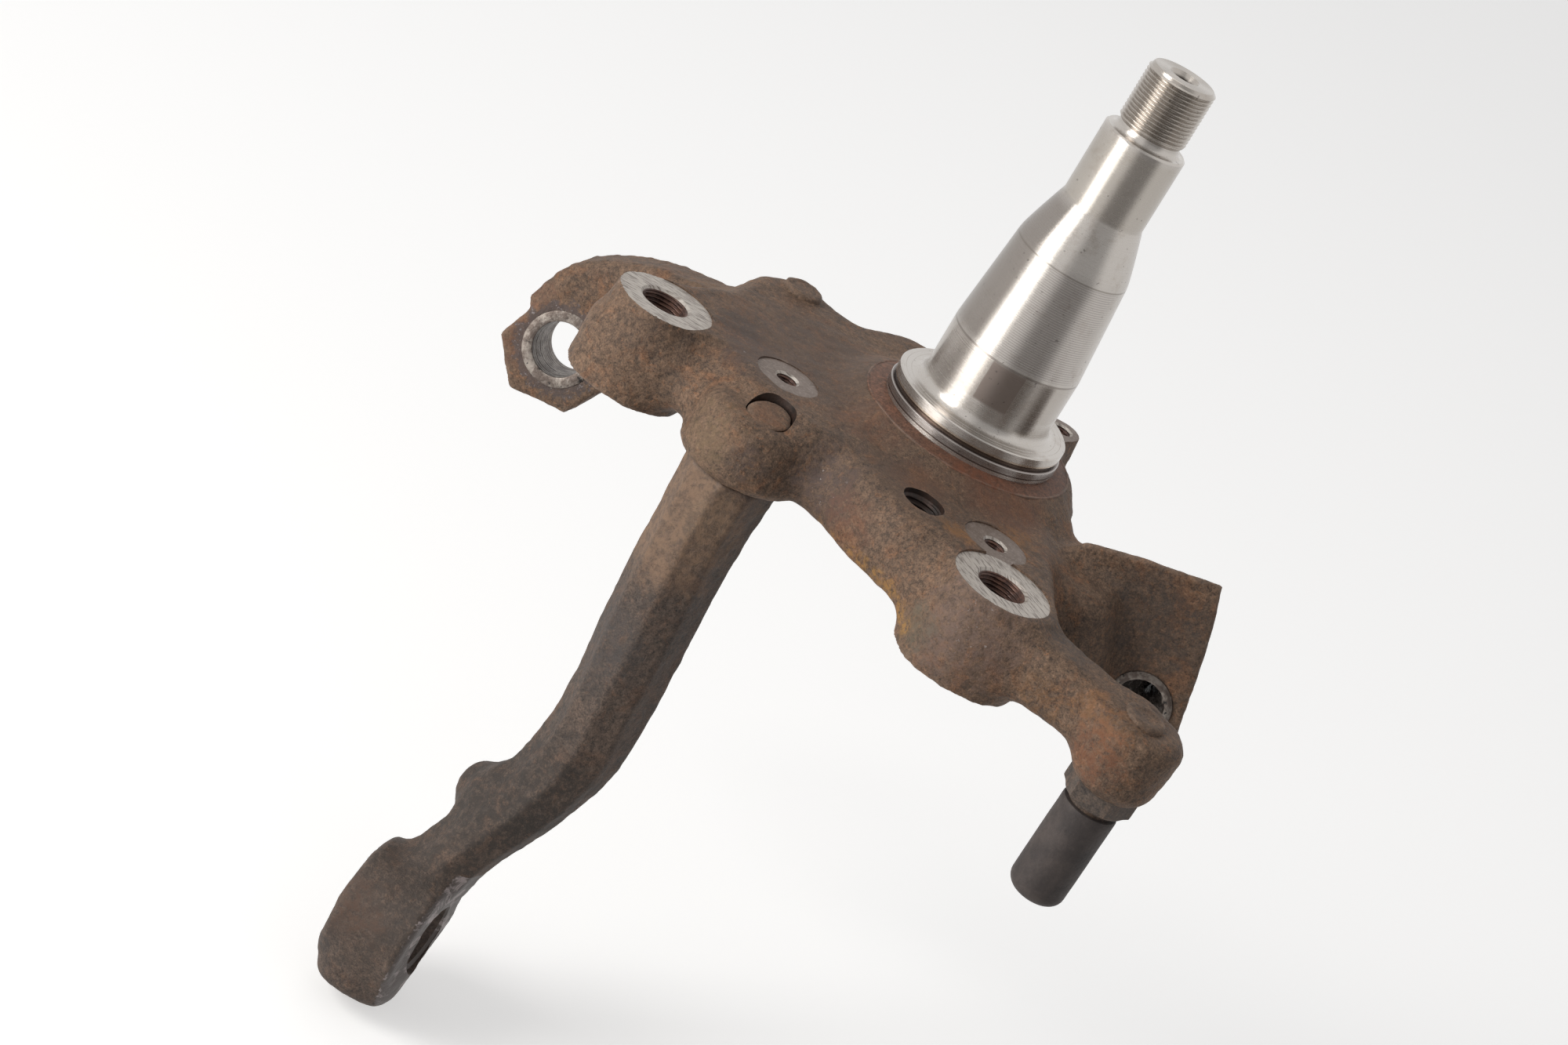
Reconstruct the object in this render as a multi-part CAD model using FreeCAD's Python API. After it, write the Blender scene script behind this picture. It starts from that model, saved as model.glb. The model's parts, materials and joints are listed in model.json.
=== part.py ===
import FreeCAD, Part
import math
import os

# Steering knuckle for a heavy van or light truck, in millimetres.
# Z runs along the wheel spindle, outward. Z = 0 is the shoulder that the
# inner wheel bearing sits against. X runs parallel to the line through the
# two caliper bosses, and the bosses and the steering arm lie on the -Y side.
V3 = FreeCAD.Vector
UP = V3(0, 0, 1)

# Spindle, turned from the forging: heights above the bearing shoulder.
innerR = 25.4            # inner bearing journal
innerTop = 25.6
taperR = 22.0            # end of the long taper
taperTop = 64.0
outerR = 15.875          # outer bearing journal
outerStart = 85.0
outerEnd = 114.3
threadR = 13.0           # M26 x 1.5 end thread, modelled at its crest
threadChamfer = 1.2
reliefR = 12.0           # smooth neck between the thread and the outer journal
reliefFlare = 2.4        # its round into the journal's end face
reliefLength = 3.2
tipZ = 140.2
edgeBreak = 0.8          # bevel on the turned corners
centreR = 2.6            # centre drilling in the end
centreDepth = 6.0
seatFillet = 3.5
flareLine = ((16.9, 82.0), (19.4, 74.0), (21.4, 67.0))   # radius and height, journal to taper
rootZ = -30.0            # the spindle's root, buried in the hub

# Bearing shoulder and the collar under it.
discR = 34.2
discLow = -4.2
grooveR = 32.2
grooveLow = -5.6
collarR = 34.9
collarLow = -10.4
ledgeR = 42.0            # turned ledge on the raw hub

# Raw hub and plate levels.
hubTopR = 43.0
hubTopZ = collarLow - 1.0
hubLowR = 51.0
hubLowZ = -24.0
plateTop = -16.4
plateShelf = -27.0
plateLow = -38.0
plateBottom = -43.5
underZ = -58.0           # low face of the thick middle under the spindle
drillLow, drillHigh = -80.0, 10.0    # levels that clear the whole plate

# Caliper bosses.
caliperY = -75.2
caliperX = (-93.9, 70.2)
caliperFaceZ = -17.0
caliperFaceR = 18.3
caliperFootR = 25.0
caliperFootZ = -51.0
caliperFootRound = 7.0
caliperHoleR = 8.25      # tapped M18 x 1.5, minor diameter
caliperSinkR = 9.6

# Dust shield screws, all at one radius from the spindle.
shieldRadius = 74.0
shieldAngles = (-127.9, -45.4, 87.1)
shieldFaceZ = -17.0
shieldHoleR = 3.4        # tapped M8
shieldSinkR = 4.3
shieldSpotR = 12.3
shieldDepth = 18.0
shieldLugR = 7.8         # lug that carries the rear screw
shieldLugLowR = 8.8
shieldLugWall = 4.0      # how far the plate reaches past that screw

# Tapped hole beside the hub and the arm's own hole.
spareAt = (26.2, -65.2)
spareR = 7.0             # tapped M16, minor diameter
armHoleAt = (-32.6, -83.4)
armHoleR = 8.6
armPadAt = (-36.5, -78.0)
armPadTopR = 21.0
armPadLowR = 25.0
armPadTopZ = -22.5
armPadRound = 6.0
armSeatZ = -46.5

# Thickened spots of the raw plate: place, low level, low radius, top level, top radius.
smallPad = ((-90.4, 10.5), plateLow + 8.0, 8.0, plateTop + 2.2, 7.6)
thickMiddle = ((-2.0, 2.0), underZ, 32.0, plateLow, 46.0)
blockRoot = ((73.0, -12.0), underZ, 28.0, plateTop - 5.6, 14.0)
padRound = 0.7
rootRound = 6.0

# Directions of the eyes: the steering axis leans 16 degrees in the XY plane.
lean = math.radians(16.0)
alongV = V3(math.cos(lean), math.sin(lean), 0)
acrossW = V3(math.sin(lean), -math.cos(lean), 0)

# Pivot block on the +X side: a front face outline (along V, Z) and a depth.
blockAt = V3(110, 5, 0)
blockLine = ((-52, -20), (-48, -13.2), (-36, -8.6), (-22, -4.2), (1.0, 2.2), (6.0, -12.0), (12.3, -34.5),
             (16.8, -56.0), (17.5, -62.0), (8.0, -74.0), (-10.0, -76.0), (-40.0, -60.0), (-58, -46))
blockMiddle = (-16.0, -36.0)
blockBevel = 1.6
blockDraft = 3.0
blockFallSpan = (-60.0, 2.0)   # heights between which the fall grows from none to full
blockDepth = 36.0
blockFall = 19.0         # how far the block's top drops toward its rear
blockHoleAt = (-0.6, -53.2)
blockHoleR = 8.9
blockBushR = 12.2
blockBushOut = 0.8

# Clamp eye on the -X side.
eyeAt = V3(-157.5, -8, -88.0)
eyeAxis = V3(0.3116, -0.9347, 0.1709)
eyeHalf = 14.0
eyeBoreR = 10.8
eyeBushR = 15.2
eyeBushOut = 0.6
eyeCorners = ((-23.5, -7.5), (-9.7, -23.6), (13.8, -20.6), (23.5, -3.0), (15.0, 19.0), (-10.0, 27.0))
eyeRound = 1.5
# goose neck to the eye: centre, direction, half width, half thickness
strapLine = (((-88, -10, -36), (-0.99, 0.0, -0.15), 15.0, 12.0),
             ((-113, -8, -41.5), (-0.97, 0.05, -0.24), 15.0, 12.5),
             ((-139, -6, -49.5), (-0.87, 0.05, -0.50), 15.0, 13.0),
             ((eyeAt.x - 2.5, eyeAt.y + 3.0, eyeAt.z + 24.0), (-0.55, 0.0, -0.83), 14.5, 15.0),
             ((eyeAt.x - 8.0, eyeAt.y + 2.0, eyeAt.z + 8.0), (-0.15, 0.0, -0.99), 13.5, 15.0))
strapCorner = 5.0

# Stop arm, its screw and its cap.
stopAt = (136.5, -70.0)
knobR = 17.5
knobZ = -38.0
stopFaceZ = -48.5
stopHexFlats = 23.0
stopHexHeight = 9.0
stopScrewR = 7.0
stopScrewIn = 26.0
stopNeckR = 8.6
stopNeckLength = 2.4
stopCapR = 10.4
stopCapLength = 39.5
stopCapRound = 4.5
stopCapGrip = 20.0       # how far the screw's neck sits in the cap
stopHexTurn = 12.0
stopPadR = 8.5
stopKnobTaper = 2.5
# arm to the knob: centre, direction, half width, half thickness
stopLine = (((66, -76, -33), (1, 0.0, 0.0), 15.0, 14.0), ((92, -75, -32), (1, 0.05, 0.02), 12.0, 12.5),
            ((114, -73, -31.8), (1, 0.08, 0.0), 11.5, 11.0),
            ((stopAt[0] - 4.5, stopAt[1] - 0.5, -32.5), (1, 0.08, 0.0), 13.0, 11.0))
stopCorner = 7.0

# Steering arm.
tieAt = V3(-44.0, -124.45, -253.5)
tieR = 27.6
tieRearR = 24.0
tieHalf = 15.75
tieBoreR = 13.6
tieRound = 3.0
studR = 7.4
studSink = 0.7           # how far its end sits below the pad
studDeep = 30.0
studOff = (0.45, -1.05)  # it lies against the near side of its hole
# bar from the plate to the barrel: centre, half width, half depth, corner cut
barLine = (((-35.8, -79.5, armSeatZ), 15.5, 18.5, 6.0), ((-35.3, -81.5, -75), 15.0, 17.5, 6.5),
           ((-33.2, -83.5, -110), 15.6, 16.5, 6.5), ((-29, -87.5, -145), 14.6, 16.5, 6.5),
           ((-27.6, -93, -170), 15.2, 15.5, 6.5), ((-31, -101, -193), 14.4, 14.5, 6.5),
           ((-38, -110, -217), 13.0, 14.0, 6.0), ((-43.5, -117, -238), 13.2, 16.0, 6.0))
# raw lumps left by the dies: base, direction, length, base radius, end radius, round
bendLump = (V3(-43, -97, -204.5), V3(-0.96, 0.1, -0.2), 16.0, 11.5, 8.0, 3.0)
barrelLump = (tieAt + alongV, V3(0.112, -0.39, -0.914), 32.5, 17.0, 13.0, 4.0)


def ringWire(points, z):
    curve = Part.BSplineCurve()
    curve.interpolate([V3(x, y, z) for x, y in points], PeriodicFlag=True)
    return Part.Wire([curve.toShape()])


def frustum(x, y, lowZ, lowR, topZ, topR, roundLow=0.0, roundTop=0.0):
    # upright cone or cylinder with rounded end rims
    if lowR == topR:
        cone = Part.makeCylinder(lowR, topZ - lowZ, V3(x, y, lowZ), UP)
    else:
        cone = Part.makeCone(lowR, topR, topZ - lowZ, V3(x, y, lowZ), UP)
    for size, level in ((roundLow, lowZ), (roundTop, topZ)):
        if size:
            cone = cone.makeFillet(size, [e for e in cone.Edges if e.Closed and abs(e.BoundBox.ZMax - level) < 1e-6])
    return cone


def lump(base, direction, length, baseR, endR, rounding):
    # frustum laid along any direction
    shape = frustum(0, 0, 0, baseR, length, endR, 0, rounding)
    shape.Placement = FreeCAD.Placement(base, FreeCAD.Rotation(UP, direction))
    return shape


def polar(i):
    t = math.radians(shieldAngles[i])
    return shieldRadius * math.cos(t), shieldRadius * math.sin(t)


def slab(centre, u, v, halfU, halfV, corner):
    # rounded rectangle wire in the plane of u and v
    def at(a, b):
        return centre + u * a + v * b
    cu, cv = halfU - corner, halfV - corner
    k = corner * math.sqrt(0.5)
    parts = []
    for su, sv, nu, nv in ((1, 1, -1, 1), (-1, 1, -1, -1), (-1, -1, 1, -1), (1, -1, 1, 1)):
        if su * sv > 0:
            start, mid, end = (at(su * halfU, sv * cv), at(su * (cu + k), sv * (cv + k)), at(su * cu, sv * halfV))
        else:
            start, mid, end = (at(su * cu, sv * halfV), at(su * (cu + k), sv * (cv + k)), at(su * halfU, sv * cv))
        nextStart = at(nu * cu, nv * halfV) if su * sv > 0 else at(nu * halfU, nv * cv)
        parts.append(Part.Arc(start, mid, end).toShape())
        parts.append(Part.makeLine(end, nextStart))
    return Part.Wire(parts)


def octagon(centre, u, v, halfU, halfV, cut):
    pts = [(halfU, halfV - cut), (halfU - cut, halfV), (cut - halfU, halfV), (-halfU, halfV - cut),
           (-halfU, cut - halfV), (cut - halfU, -halfV), (halfU - cut, -halfV), (halfU, cut - halfV)]
    return Part.makePolygon([centre + u * a + v * b for a, b in pts + pts[:1]])


def cylinder(r, height, base, axis):
    return Part.makeCylinder(r, height, base, axis)


def polyline(points):
    return [Part.makeLine(V3(a[0], 0, a[1]), V3(b[0], 0, b[1])) for a, b in zip(points[:-1], points[1:])]


def quarterArc(cx, cz, r, fromX, fromZ):
    # quarter round about (cx, cz) that starts on its level and ends straight below it
    k = r * math.sqrt(0.5)
    side = math.copysign(k, fromX - cx)
    return Part.Arc(V3(fromX, 0, fromZ), V3(cx + side, 0, cz - k), V3(cx, 0, cz - r)).toShape()


def spindle():
    # half section of everything that is turned, spun about Z
    neckTop = outerEnd + reliefLength
    lines = polyline([(0, tipZ), (threadR - threadChamfer, tipZ), (threadR, tipZ - threadChamfer),
                      (threadR, neckTop + threadR - reliefR), (reliefR, neckTop), (reliefR, outerEnd + reliefFlare)])
    lines.append(quarterArc(reliefR + reliefFlare, outerEnd + reliefFlare, reliefFlare,
                            reliefR, outerEnd + reliefFlare))
    lines += polyline([(reliefR + reliefFlare, outerEnd), (outerR - edgeBreak, outerEnd),
                       (outerR, outerEnd - edgeBreak), (outerR, outerStart)])
    flare = Part.BSplineCurve()
    flare.interpolate([V3(outerR, 0, outerStart)] + [V3(r, 0, z) for r, z in flareLine] + [V3(taperR, 0, taperTop)])
    lines.append(flare.toShape())
    lines += polyline([(taperR, taperTop), (innerR, innerTop), (innerR, seatFillet)])
    lines.append(quarterArc(innerR + seatFillet, seatFillet, seatFillet, innerR, seatFillet))
    lines += polyline([(innerR + seatFillet, 0), (discR - edgeBreak, 0), (discR, -edgeBreak), (discR, discLow),
                       (grooveR, discLow), (grooveR, grooveLow), (collarR, grooveLow), (collarR, collarLow),
                       (ledgeR, hubTopZ), (ledgeR, rootZ), (0, rootZ), (0, tipZ)])
    body = Part.Face(Part.Wire(lines)).revolve(V3(0, 0, 0), UP, 360)
    centre = Part.makeCone(0.0, centreR, centreDepth, V3(0, 0, tipZ - centreDepth), UP)
    return body.cut(centre)


def plateOutline():
    # the plate at its widest level, and how far each point draws in at the top;
    # it bulges round the caliper bosses, the arm's pad and the rear shield screw
    left, right = caliperX
    padX, padY = armPadAt
    rearX, rearY = polar(2)
    return [(left - 22, caliperY - 1, 22), (left - 19, caliperY + 23, 12), (-104, -28, 6), (-107, -10, 5),
            (-110, 4, 5), (-107, 16, 5), (-100, 25, 5), (-88, 25, 5), (-76, 27, 5), (-70, 38, 5), (-61, 53, 5),
            (-42, 64, 5), (rearX - 21.7, rearY - 1.9, 5), (rearX - 1.7, rearY + shieldLugWall, 4),
            (rearX + 8.3, rearY - 1.9, 5), (19, 55, 5), (28, 40, 5), (41, 20, 5), (52, 0, 6), (66, -26, 6),
            (right + 14, caliperY + 25, 7), (right + 22, caliperY + 1, 12), (right + 10, caliperY - 17, 18),
            (right - 12, caliperY - 15, 16), (35, -88, 8), (15, -82, 6), (-6, -78, 8),
            (padX + 12.5, padY - 13, 12), (padX - 9.5, padY - 16, 16), (padX - 27.5, padY - 10, 15),
            (left + 14, caliperY - 14, 22), (left - 8, caliperY - 17, 26)]


outlineMid = (-8.0, -14.0)


def drawIn(amount):
    points = []
    for x, y, inset in plateOutline():
        dx, dy = outlineMid[0] - x, outlineMid[1] - y
        length = math.hypot(dx, dy)
        step = amount * inset if amount > 0 else -amount
        points.append((x + dx / length * step, y + dy / length * step))
    return points


def plate():
    wires = [ringWire(drawIn(1.0), plateTop), ringWire(drawIn(0.28), plateShelf),
             ringWire(drawIn(-0.5), (plateShelf + plateLow) / 2), ringWire(drawIn(-2.5), plateLow),
             ringWire(drawIn(-8.0), plateBottom)]
    return Part.makeLoft(wires, True, False)


def strap():
    # goose neck from the plate's -X end over to the clamp eye
    a = V3(eyeAxis).normalize()
    wires = []
    for centre, run, wide, thick in strapLine:
        t = V3(*run).normalize()
        side = (a - t * a.dot(t)).normalize()
        wires.append(slab(V3(*centre), side, t.cross(side).normalize(), wide, thick, strapCorner))
    return Part.makeLoft(wires, True, False)


def eyeFrame():
    a = V3(eyeAxis).normalize()
    u1 = UP.cross(a).normalize()
    return a, u1, a.cross(u1).normalize()


def clampEye():
    a, u1, u2 = eyeFrame()
    base = eyeAt - a * eyeHalf
    poly = Part.makePolygon([base + u1 * p + u2 * q for p, q in eyeCorners + eyeCorners[:1]])
    body = Part.Face(poly).extrude(a * (2 * eyeHalf))
    return body.makeFillet(eyeRound, [e for e in body.Edges if
                                      abs((e.Vertexes[1].Point - e.Vertexes[0].Point).normalize().dot(a)) > 0.99])


def block():
    # front outline, the same one step back inside a narrow bevel, and the lower rear outline
    steps = [(0.0, 1.2, 0.0), (blockBevel, 0.0, 0.0), (blockDepth, blockDraft, blockFall)]
    fallLow, fallHigh = blockFallSpan
    wires = []
    for back, shrink, fall in steps:
        pts = []
        for p, q in blockLine:
            dp, dq = blockMiddle[0] - p, blockMiddle[1] - q
            size = math.hypot(dp, dq)
            drop = fall * max(0.0, (q - fallLow) / (fallHigh - fallLow))
            pts.append(blockAt + alongV * (p + dp / size * shrink) + UP * (q + dq / size * shrink - drop)
                       - acrossW * back)
        wires.append(Part.makePolygon(pts + pts[:1]))
    return Part.makeLoft(wires, True, True)


def stopArm():
    x, y = stopAt
    wires = []
    for centre, run, wide, thick in stopLine:
        t = V3(*run).normalize()
        side = (V3(0, 1, 0) - t * t.y).normalize()
        wires.append(slab(V3(*centre), side, t.cross(side).normalize(), wide, thick, stopCorner))
    arm = Part.makeLoft(wires, True, False)
    knob = frustum(x, y, stopFaceZ, knobR - stopKnobTaper, knobZ + knobR - 3.0, knobR, 2.0, 7.0)
    pad = frustum(x, y, knobZ, stopPadR, knobZ + knobR - 2.0, stopPadR, 0, edgeBreak)
    return arm.fuse([knob, pad])


def tapped(place, radius, sinkR, faceZ, lowZ, spotR):
    # tapped hole from lowZ up through its milled face, with a countersunk mouth
    x, y = place
    sink = sinkR - radius
    return [cylinder(radius, drillHigh - lowZ, V3(x, y, lowZ), UP),
            cylinder(spotR, drillHigh - faceZ, V3(x, y, faceZ), UP),
            Part.makeCone(radius, sinkR, sink, V3(x, y, faceZ - sink), UP)]


def pivotHole():
    return blockAt + alongV * blockHoleAt[0] + UP * blockHoleAt[1]


def forging():
    hub = Part.makeCone(hubLowR, hubTopR, hubTopZ - hubLowZ, V3(0, 0, hubLowZ), UP)
    rearX, rearY = polar(2)
    shieldLug = frustum(rearX, rearY, plateLow, shieldLugLowR, shieldFaceZ, shieldLugR, 3.0, 0)
    armPad = frustum(armPadAt[0], armPadAt[1], armSeatZ, armPadLowR, armPadTopZ, armPadTopR, 0, armPadRound)
    adds = [hub, shieldLug, armPad, strap(), clampEye(), block(), stopArm()]
    for x in caliperX:
        adds.append(frustum(x, caliperY, caliperFootZ, caliperFootR, caliperFaceZ, caliperFaceR, caliperFootRound, 0))
    for (place, lowZ, lowR, topZ, topR), low, top in ((smallPad, 0, padRound), (thickMiddle, rootRound, 0),
                                                      (blockRoot, rootRound, rootRound)):
        adds.append(frustum(place[0], place[1], lowZ, lowR, topZ, topR, low, top))
    body = plate().fuse(adds).fuse(spindle())
    cuts = []
    for x in caliperX:
        cuts += tapped((x, caliperY), caliperHoleR, caliperSinkR, caliperFaceZ, drillLow, caliperFaceR)
    for i in range(len(shieldAngles)):
        cuts += tapped(polar(i), shieldHoleR, shieldSinkR, shieldFaceZ, shieldFaceZ - shieldDepth, shieldSpotR)
    for place, radius in ((spareAt, spareR), (armHoleAt, armHoleR)):
        cuts.append(cylinder(radius, drillHigh - drillLow, V3(place[0], place[1], drillLow), UP))
    cuts.append(cylinder(blockBushR, 2 * blockDepth, pivotHole() + acrossW * (blockDepth / 2), acrossW * -1))
    a, u1, u2 = eyeFrame()
    cuts.append(cylinder(eyeBushR, 4 * eyeHalf, eyeAt - a * (2 * eyeHalf), a))
    cuts.append(cylinder(stopScrewR, stopScrewIn + 0.5, V3(stopAt[0], stopAt[1], stopFaceZ), UP))
    return body.cut(cuts).removeSplitter()


def sleeve(outer, inner, base, axis, length):
    return cylinder(outer, length, base, axis).cut(cylinder(inner, length, base, axis))


def blockBush():
    return sleeve(blockBushR, blockHoleR, pivotHole() + acrossW * blockBushOut, acrossW * -1,
                  blockDepth + blockBushOut)


def eyeBush():
    a, u1, u2 = eyeFrame()
    return sleeve(eyeBushR, eyeBoreR, eyeAt - a * eyeHalf, a, 2 * eyeHalf + eyeBushOut)


def studPlace():
    return armHoleAt[0] + studOff[0], armHoleAt[1] + studOff[1]


def steeringArm():
    wires = [octagon(V3(*c), V3(1, 0, 0), V3(0, 1, 0), wide, deep, cut) for c, wide, deep, cut in barLine]
    barrel = Part.makeCone(tieRearR, tieR, 2 * tieHalf, tieAt - alongV * tieHalf, alongV)
    barrel = barrel.makeFillet(tieRound, [e for e in barrel.Edges if e.Closed and
                                          (e.CenterOfMass - tieAt).dot(alongV) < 0])
    arm = Part.makeLoft(wires, True, True).fuse([barrel, lump(*bendLump), lump(*barrelLump)])
    arm = arm.cut(cylinder(tieBoreR, 4 * tieHalf, tieAt - alongV * (2 * tieHalf), alongV))
    x, y = studPlace()
    return arm.cut(cylinder(studR, studDeep, V3(x, y, armSeatZ - studDeep), UP)).removeSplitter()


def armStud():
    x, y = studPlace()
    return frustum(x, y, armSeatZ - studDeep, studR, armPadTopZ - studSink, studR, 0, edgeBreak)


def stopScrew():
    x, y = stopAt
    corner = stopHexFlats / math.sqrt(3)
    turns = [math.radians(60 * i + stopHexTurn) for i in range(7)]
    head = Part.makePolygon([V3(x + corner * math.cos(t), y + corner * math.sin(t), stopFaceZ - stopHexHeight)
                             for t in turns])
    hexHead = Part.Face(head).extrude(UP * stopHexHeight)
    shank = cylinder(stopScrewR, stopScrewIn, V3(x, y, stopFaceZ), UP)
    neckLength = stopNeckLength + stopCapGrip
    neck = cylinder(stopNeckR, neckLength, V3(x, y, stopFaceZ - stopHexHeight - neckLength), UP)
    return hexHead.fuse([shank, neck]).removeSplitter()


def stopCap():
    x, y = stopAt
    top = stopFaceZ - stopHexHeight - stopNeckLength
    body = frustum(x, y, top - stopCapLength, stopCapR, top, stopCapR, stopCapRound, edgeBreak)
    return body.cut(cylinder(stopNeckR, stopCapGrip, V3(x, y, top - stopCapGrip), UP))


os.makedirs("parts", exist_ok=True)
pieces = {"knuckle_forging": forging(), "steering_arm": steeringArm(), "arm_stud": armStud(),
          "block_bush": blockBush(), "eye_bush": eyeBush(), "stop_screw": stopScrew(), "stop_cap": stopCap()}
for name, shape in pieces.items():
    shape.exportStep("parts/" + name + ".step")
    print(name, len(shape.Solids), "solids, valid", shape.isValid(), "box", shape.BoundBox)
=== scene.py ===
import bpy
import json
import math
import numpy as np
from mathutils import Matrix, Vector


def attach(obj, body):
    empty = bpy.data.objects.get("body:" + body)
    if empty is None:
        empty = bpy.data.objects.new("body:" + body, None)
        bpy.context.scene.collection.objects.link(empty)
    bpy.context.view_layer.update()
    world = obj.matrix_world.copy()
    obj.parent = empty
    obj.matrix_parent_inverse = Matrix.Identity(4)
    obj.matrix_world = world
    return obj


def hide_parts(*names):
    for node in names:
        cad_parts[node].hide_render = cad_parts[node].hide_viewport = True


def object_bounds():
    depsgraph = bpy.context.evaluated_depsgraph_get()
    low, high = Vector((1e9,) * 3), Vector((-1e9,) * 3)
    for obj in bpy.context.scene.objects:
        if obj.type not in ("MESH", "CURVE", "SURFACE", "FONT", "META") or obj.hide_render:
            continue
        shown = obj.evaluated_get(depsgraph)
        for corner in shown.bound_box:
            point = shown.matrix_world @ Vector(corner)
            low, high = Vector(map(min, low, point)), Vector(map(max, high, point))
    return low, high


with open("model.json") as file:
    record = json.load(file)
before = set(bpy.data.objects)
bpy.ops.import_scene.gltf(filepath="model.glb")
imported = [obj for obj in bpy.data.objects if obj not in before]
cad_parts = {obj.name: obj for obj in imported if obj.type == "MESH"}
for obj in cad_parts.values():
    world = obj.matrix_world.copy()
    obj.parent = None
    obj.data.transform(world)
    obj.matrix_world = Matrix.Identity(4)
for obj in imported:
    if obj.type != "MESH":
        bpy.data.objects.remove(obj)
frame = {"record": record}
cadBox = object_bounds()
record = frame["record"]
mounts = {m["name"]: m for m in record["mounts"]}
mm = 0.001  # every shape below is worked out in millimetres and put into metres at the end


# Small vector helpers.

def mountSpot(name):  # a mount's place in millimetres
    return np.array(mounts[name]["pos_m"]) / mm


def mountAxis(name):
    a = np.array(mounts[name]["axis"], float)
    return a / np.linalg.norm(a)


def mountRadius(name):
    return mounts[name]["dims"]["r_mm"]


def sideFrame(axis):  # two directions square to an axis
    axis = axis / np.linalg.norm(axis)
    first = np.cross((0.0, 0.0, 1.0) if abs(axis[2]) < 0.9 else (1.0, 0.0, 0.0), axis)
    first /= np.linalg.norm(first)
    return axis, first, np.cross(axis, first)


def smoothStep(low, high, x):
    t = np.clip((x - low) / (high - low), 0.0, 1.0)
    return t * t * (3.0 - 2.0 * t)


latticeSide, latticeShift = 48, 100.37
lattice = np.random.default_rng(7).random((latticeSide,) * 3).astype(np.float32)
cubeCorners = [(a, b, c) for a in (0, 1) for b in (0, 1) for c in (0, 1)]


def cornerMix(t, value):
    # the values at the eight corners of each cell, mixed by the share t of the way along each axis
    total = 0.0
    for i, j, k in cubeCorners:
        weight = np.abs(1 - i - t[:, 0]) * np.abs(1 - j - t[:, 1]) * np.abs(1 - k - t[:, 2])
        total = total + value(i, j, k) * weight
    return total


def lumps(points, size):
    # smooth random lumps, -1 to 1: lattice values mixed with s = t*t*(3-2t) along each axis
    p = points / size + latticeShift
    cell = np.floor(p).astype(int)
    t = p - cell
    t = t * t * (3.0 - 2.0 * t)
    return 2.0 * cornerMix(t, lambda i, j, k: lattice[
        (cell[:, 0] + i) % latticeSide, (cell[:, 1] + j) % latticeSide, (cell[:, 2] + k) % latticeSide]) - 1.0


# Meshes.

def keepMesh(name, verts, faces, materials, node, sharpDegrees=35.0):
    mesh = bpy.data.meshes.new(name)
    mesh.from_pydata(np.asarray(verts) * mm, [], faces)
    return keepObject(name, mesh, materials, node, sharpDegrees)


def keepObject(name, mesh, materials, node, sharpDegrees=35.0):
    mesh.update()
    for material in materials:
        mesh.materials.append(material)
    mesh.polygons.foreach_set("use_smooth", np.ones(len(mesh.polygons), bool))
    mesh.set_sharp_from_angle(angle=math.radians(sharpDegrees))
    piece = bpy.data.objects.new(name, mesh)
    bpy.context.scene.collection.objects.link(piece)
    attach(piece, "root")
    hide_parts(node)
    print("made", name, len(mesh.polygons), "faces")
    return piece


def gridFaces(rows, columns, closedRows=False):
    # quads between neighbouring rows of a grid whose columns close on themselves
    r = np.arange(rows if closedRows else rows - 1)
    c = np.arange(columns)
    r, c = np.meshgrid(r, c, indexing="ij")
    rNext, cNext = (r + 1) % rows, (c + 1) % columns
    quads = np.stack([r * columns + c, r * columns + cNext, rNext * columns + cNext, rNext * columns + c], -1)
    return quads.reshape(-1, 4)


def spun(profile, columns, closed=False, ripple=None):
    # a profile of (radius, height) carried round an axis: x = r cos a, y = r sin a, z = h.
    # Open profiles begin and end on the axis with one pole each. ripple(a, h) adds to the radius.
    profile = np.asarray(profile, float)
    turn = np.arange(columns) / columns * 2 * math.pi
    ring = profile if closed else profile[1:-1]
    r = np.repeat(ring[:, :1], columns, 1)
    h = np.repeat(ring[:, 1:], columns, 1)
    a = np.repeat(turn[None, :], len(ring), 0)
    if ripple is not None:
        r = r + ripple(a, h, r)
    points = np.stack([r * np.cos(a), r * np.sin(a), h], -1).reshape(-1, 3)
    faces = gridFaces(len(ring), columns, closed).tolist()
    if not closed:
        n = len(points)
        points = np.vstack([points, [0, 0, profile[0, 1]], [0, 0, profile[-1, 1]]])
        c = np.arange(columns)
        last = (len(ring) - 1) * columns
        faces += np.stack([np.full(columns, n), (c + 1) % columns, c], -1).tolist()
        faces += np.stack([np.full(columns, n + 1), last + c, last + (c + 1) % columns], -1).tolist()
    return points, outward(points, faces)


def outward(points, faces):
    # turns every face over when the signed volume, a third of the sum of p . n over the faces, is negative
    volume = 0.0
    for size in (3, 4):
        f = np.array([face for face in faces if len(face) == size])
        if len(f):
            for k in range(1, size - 1):
                volume += np.einsum("ij,ij->", points[f[:, 0]], np.cross(points[f[:, k]], points[f[:, k + 1]]))
    return [face[::-1] for face in faces] if volume < 0 else faces


def placed(points, origin, axis):
    # turns a shape spun about Z so that it stands on origin along axis
    axis, first, second = sideFrame(np.asarray(axis, float))
    return np.asarray(origin) + points[:, :1] * first + points[:, 1:2] * second + points[:, 2:3] * axis


def stretchRuns(corners, step):
    # a run of points no further apart than step along straight runs between corners
    corners = np.asarray(corners, float)
    out = [corners[:1]]
    for a, b in zip(corners[:-1], corners[1:]):
        n = max(1, int(math.ceil(np.linalg.norm(b - a) / step)))
        out.append(a + (b - a) * (np.arange(1, n + 1) / n)[:, None])
    return np.vstack(out)


# Distance fields: negative inside, in millimetres.

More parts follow.
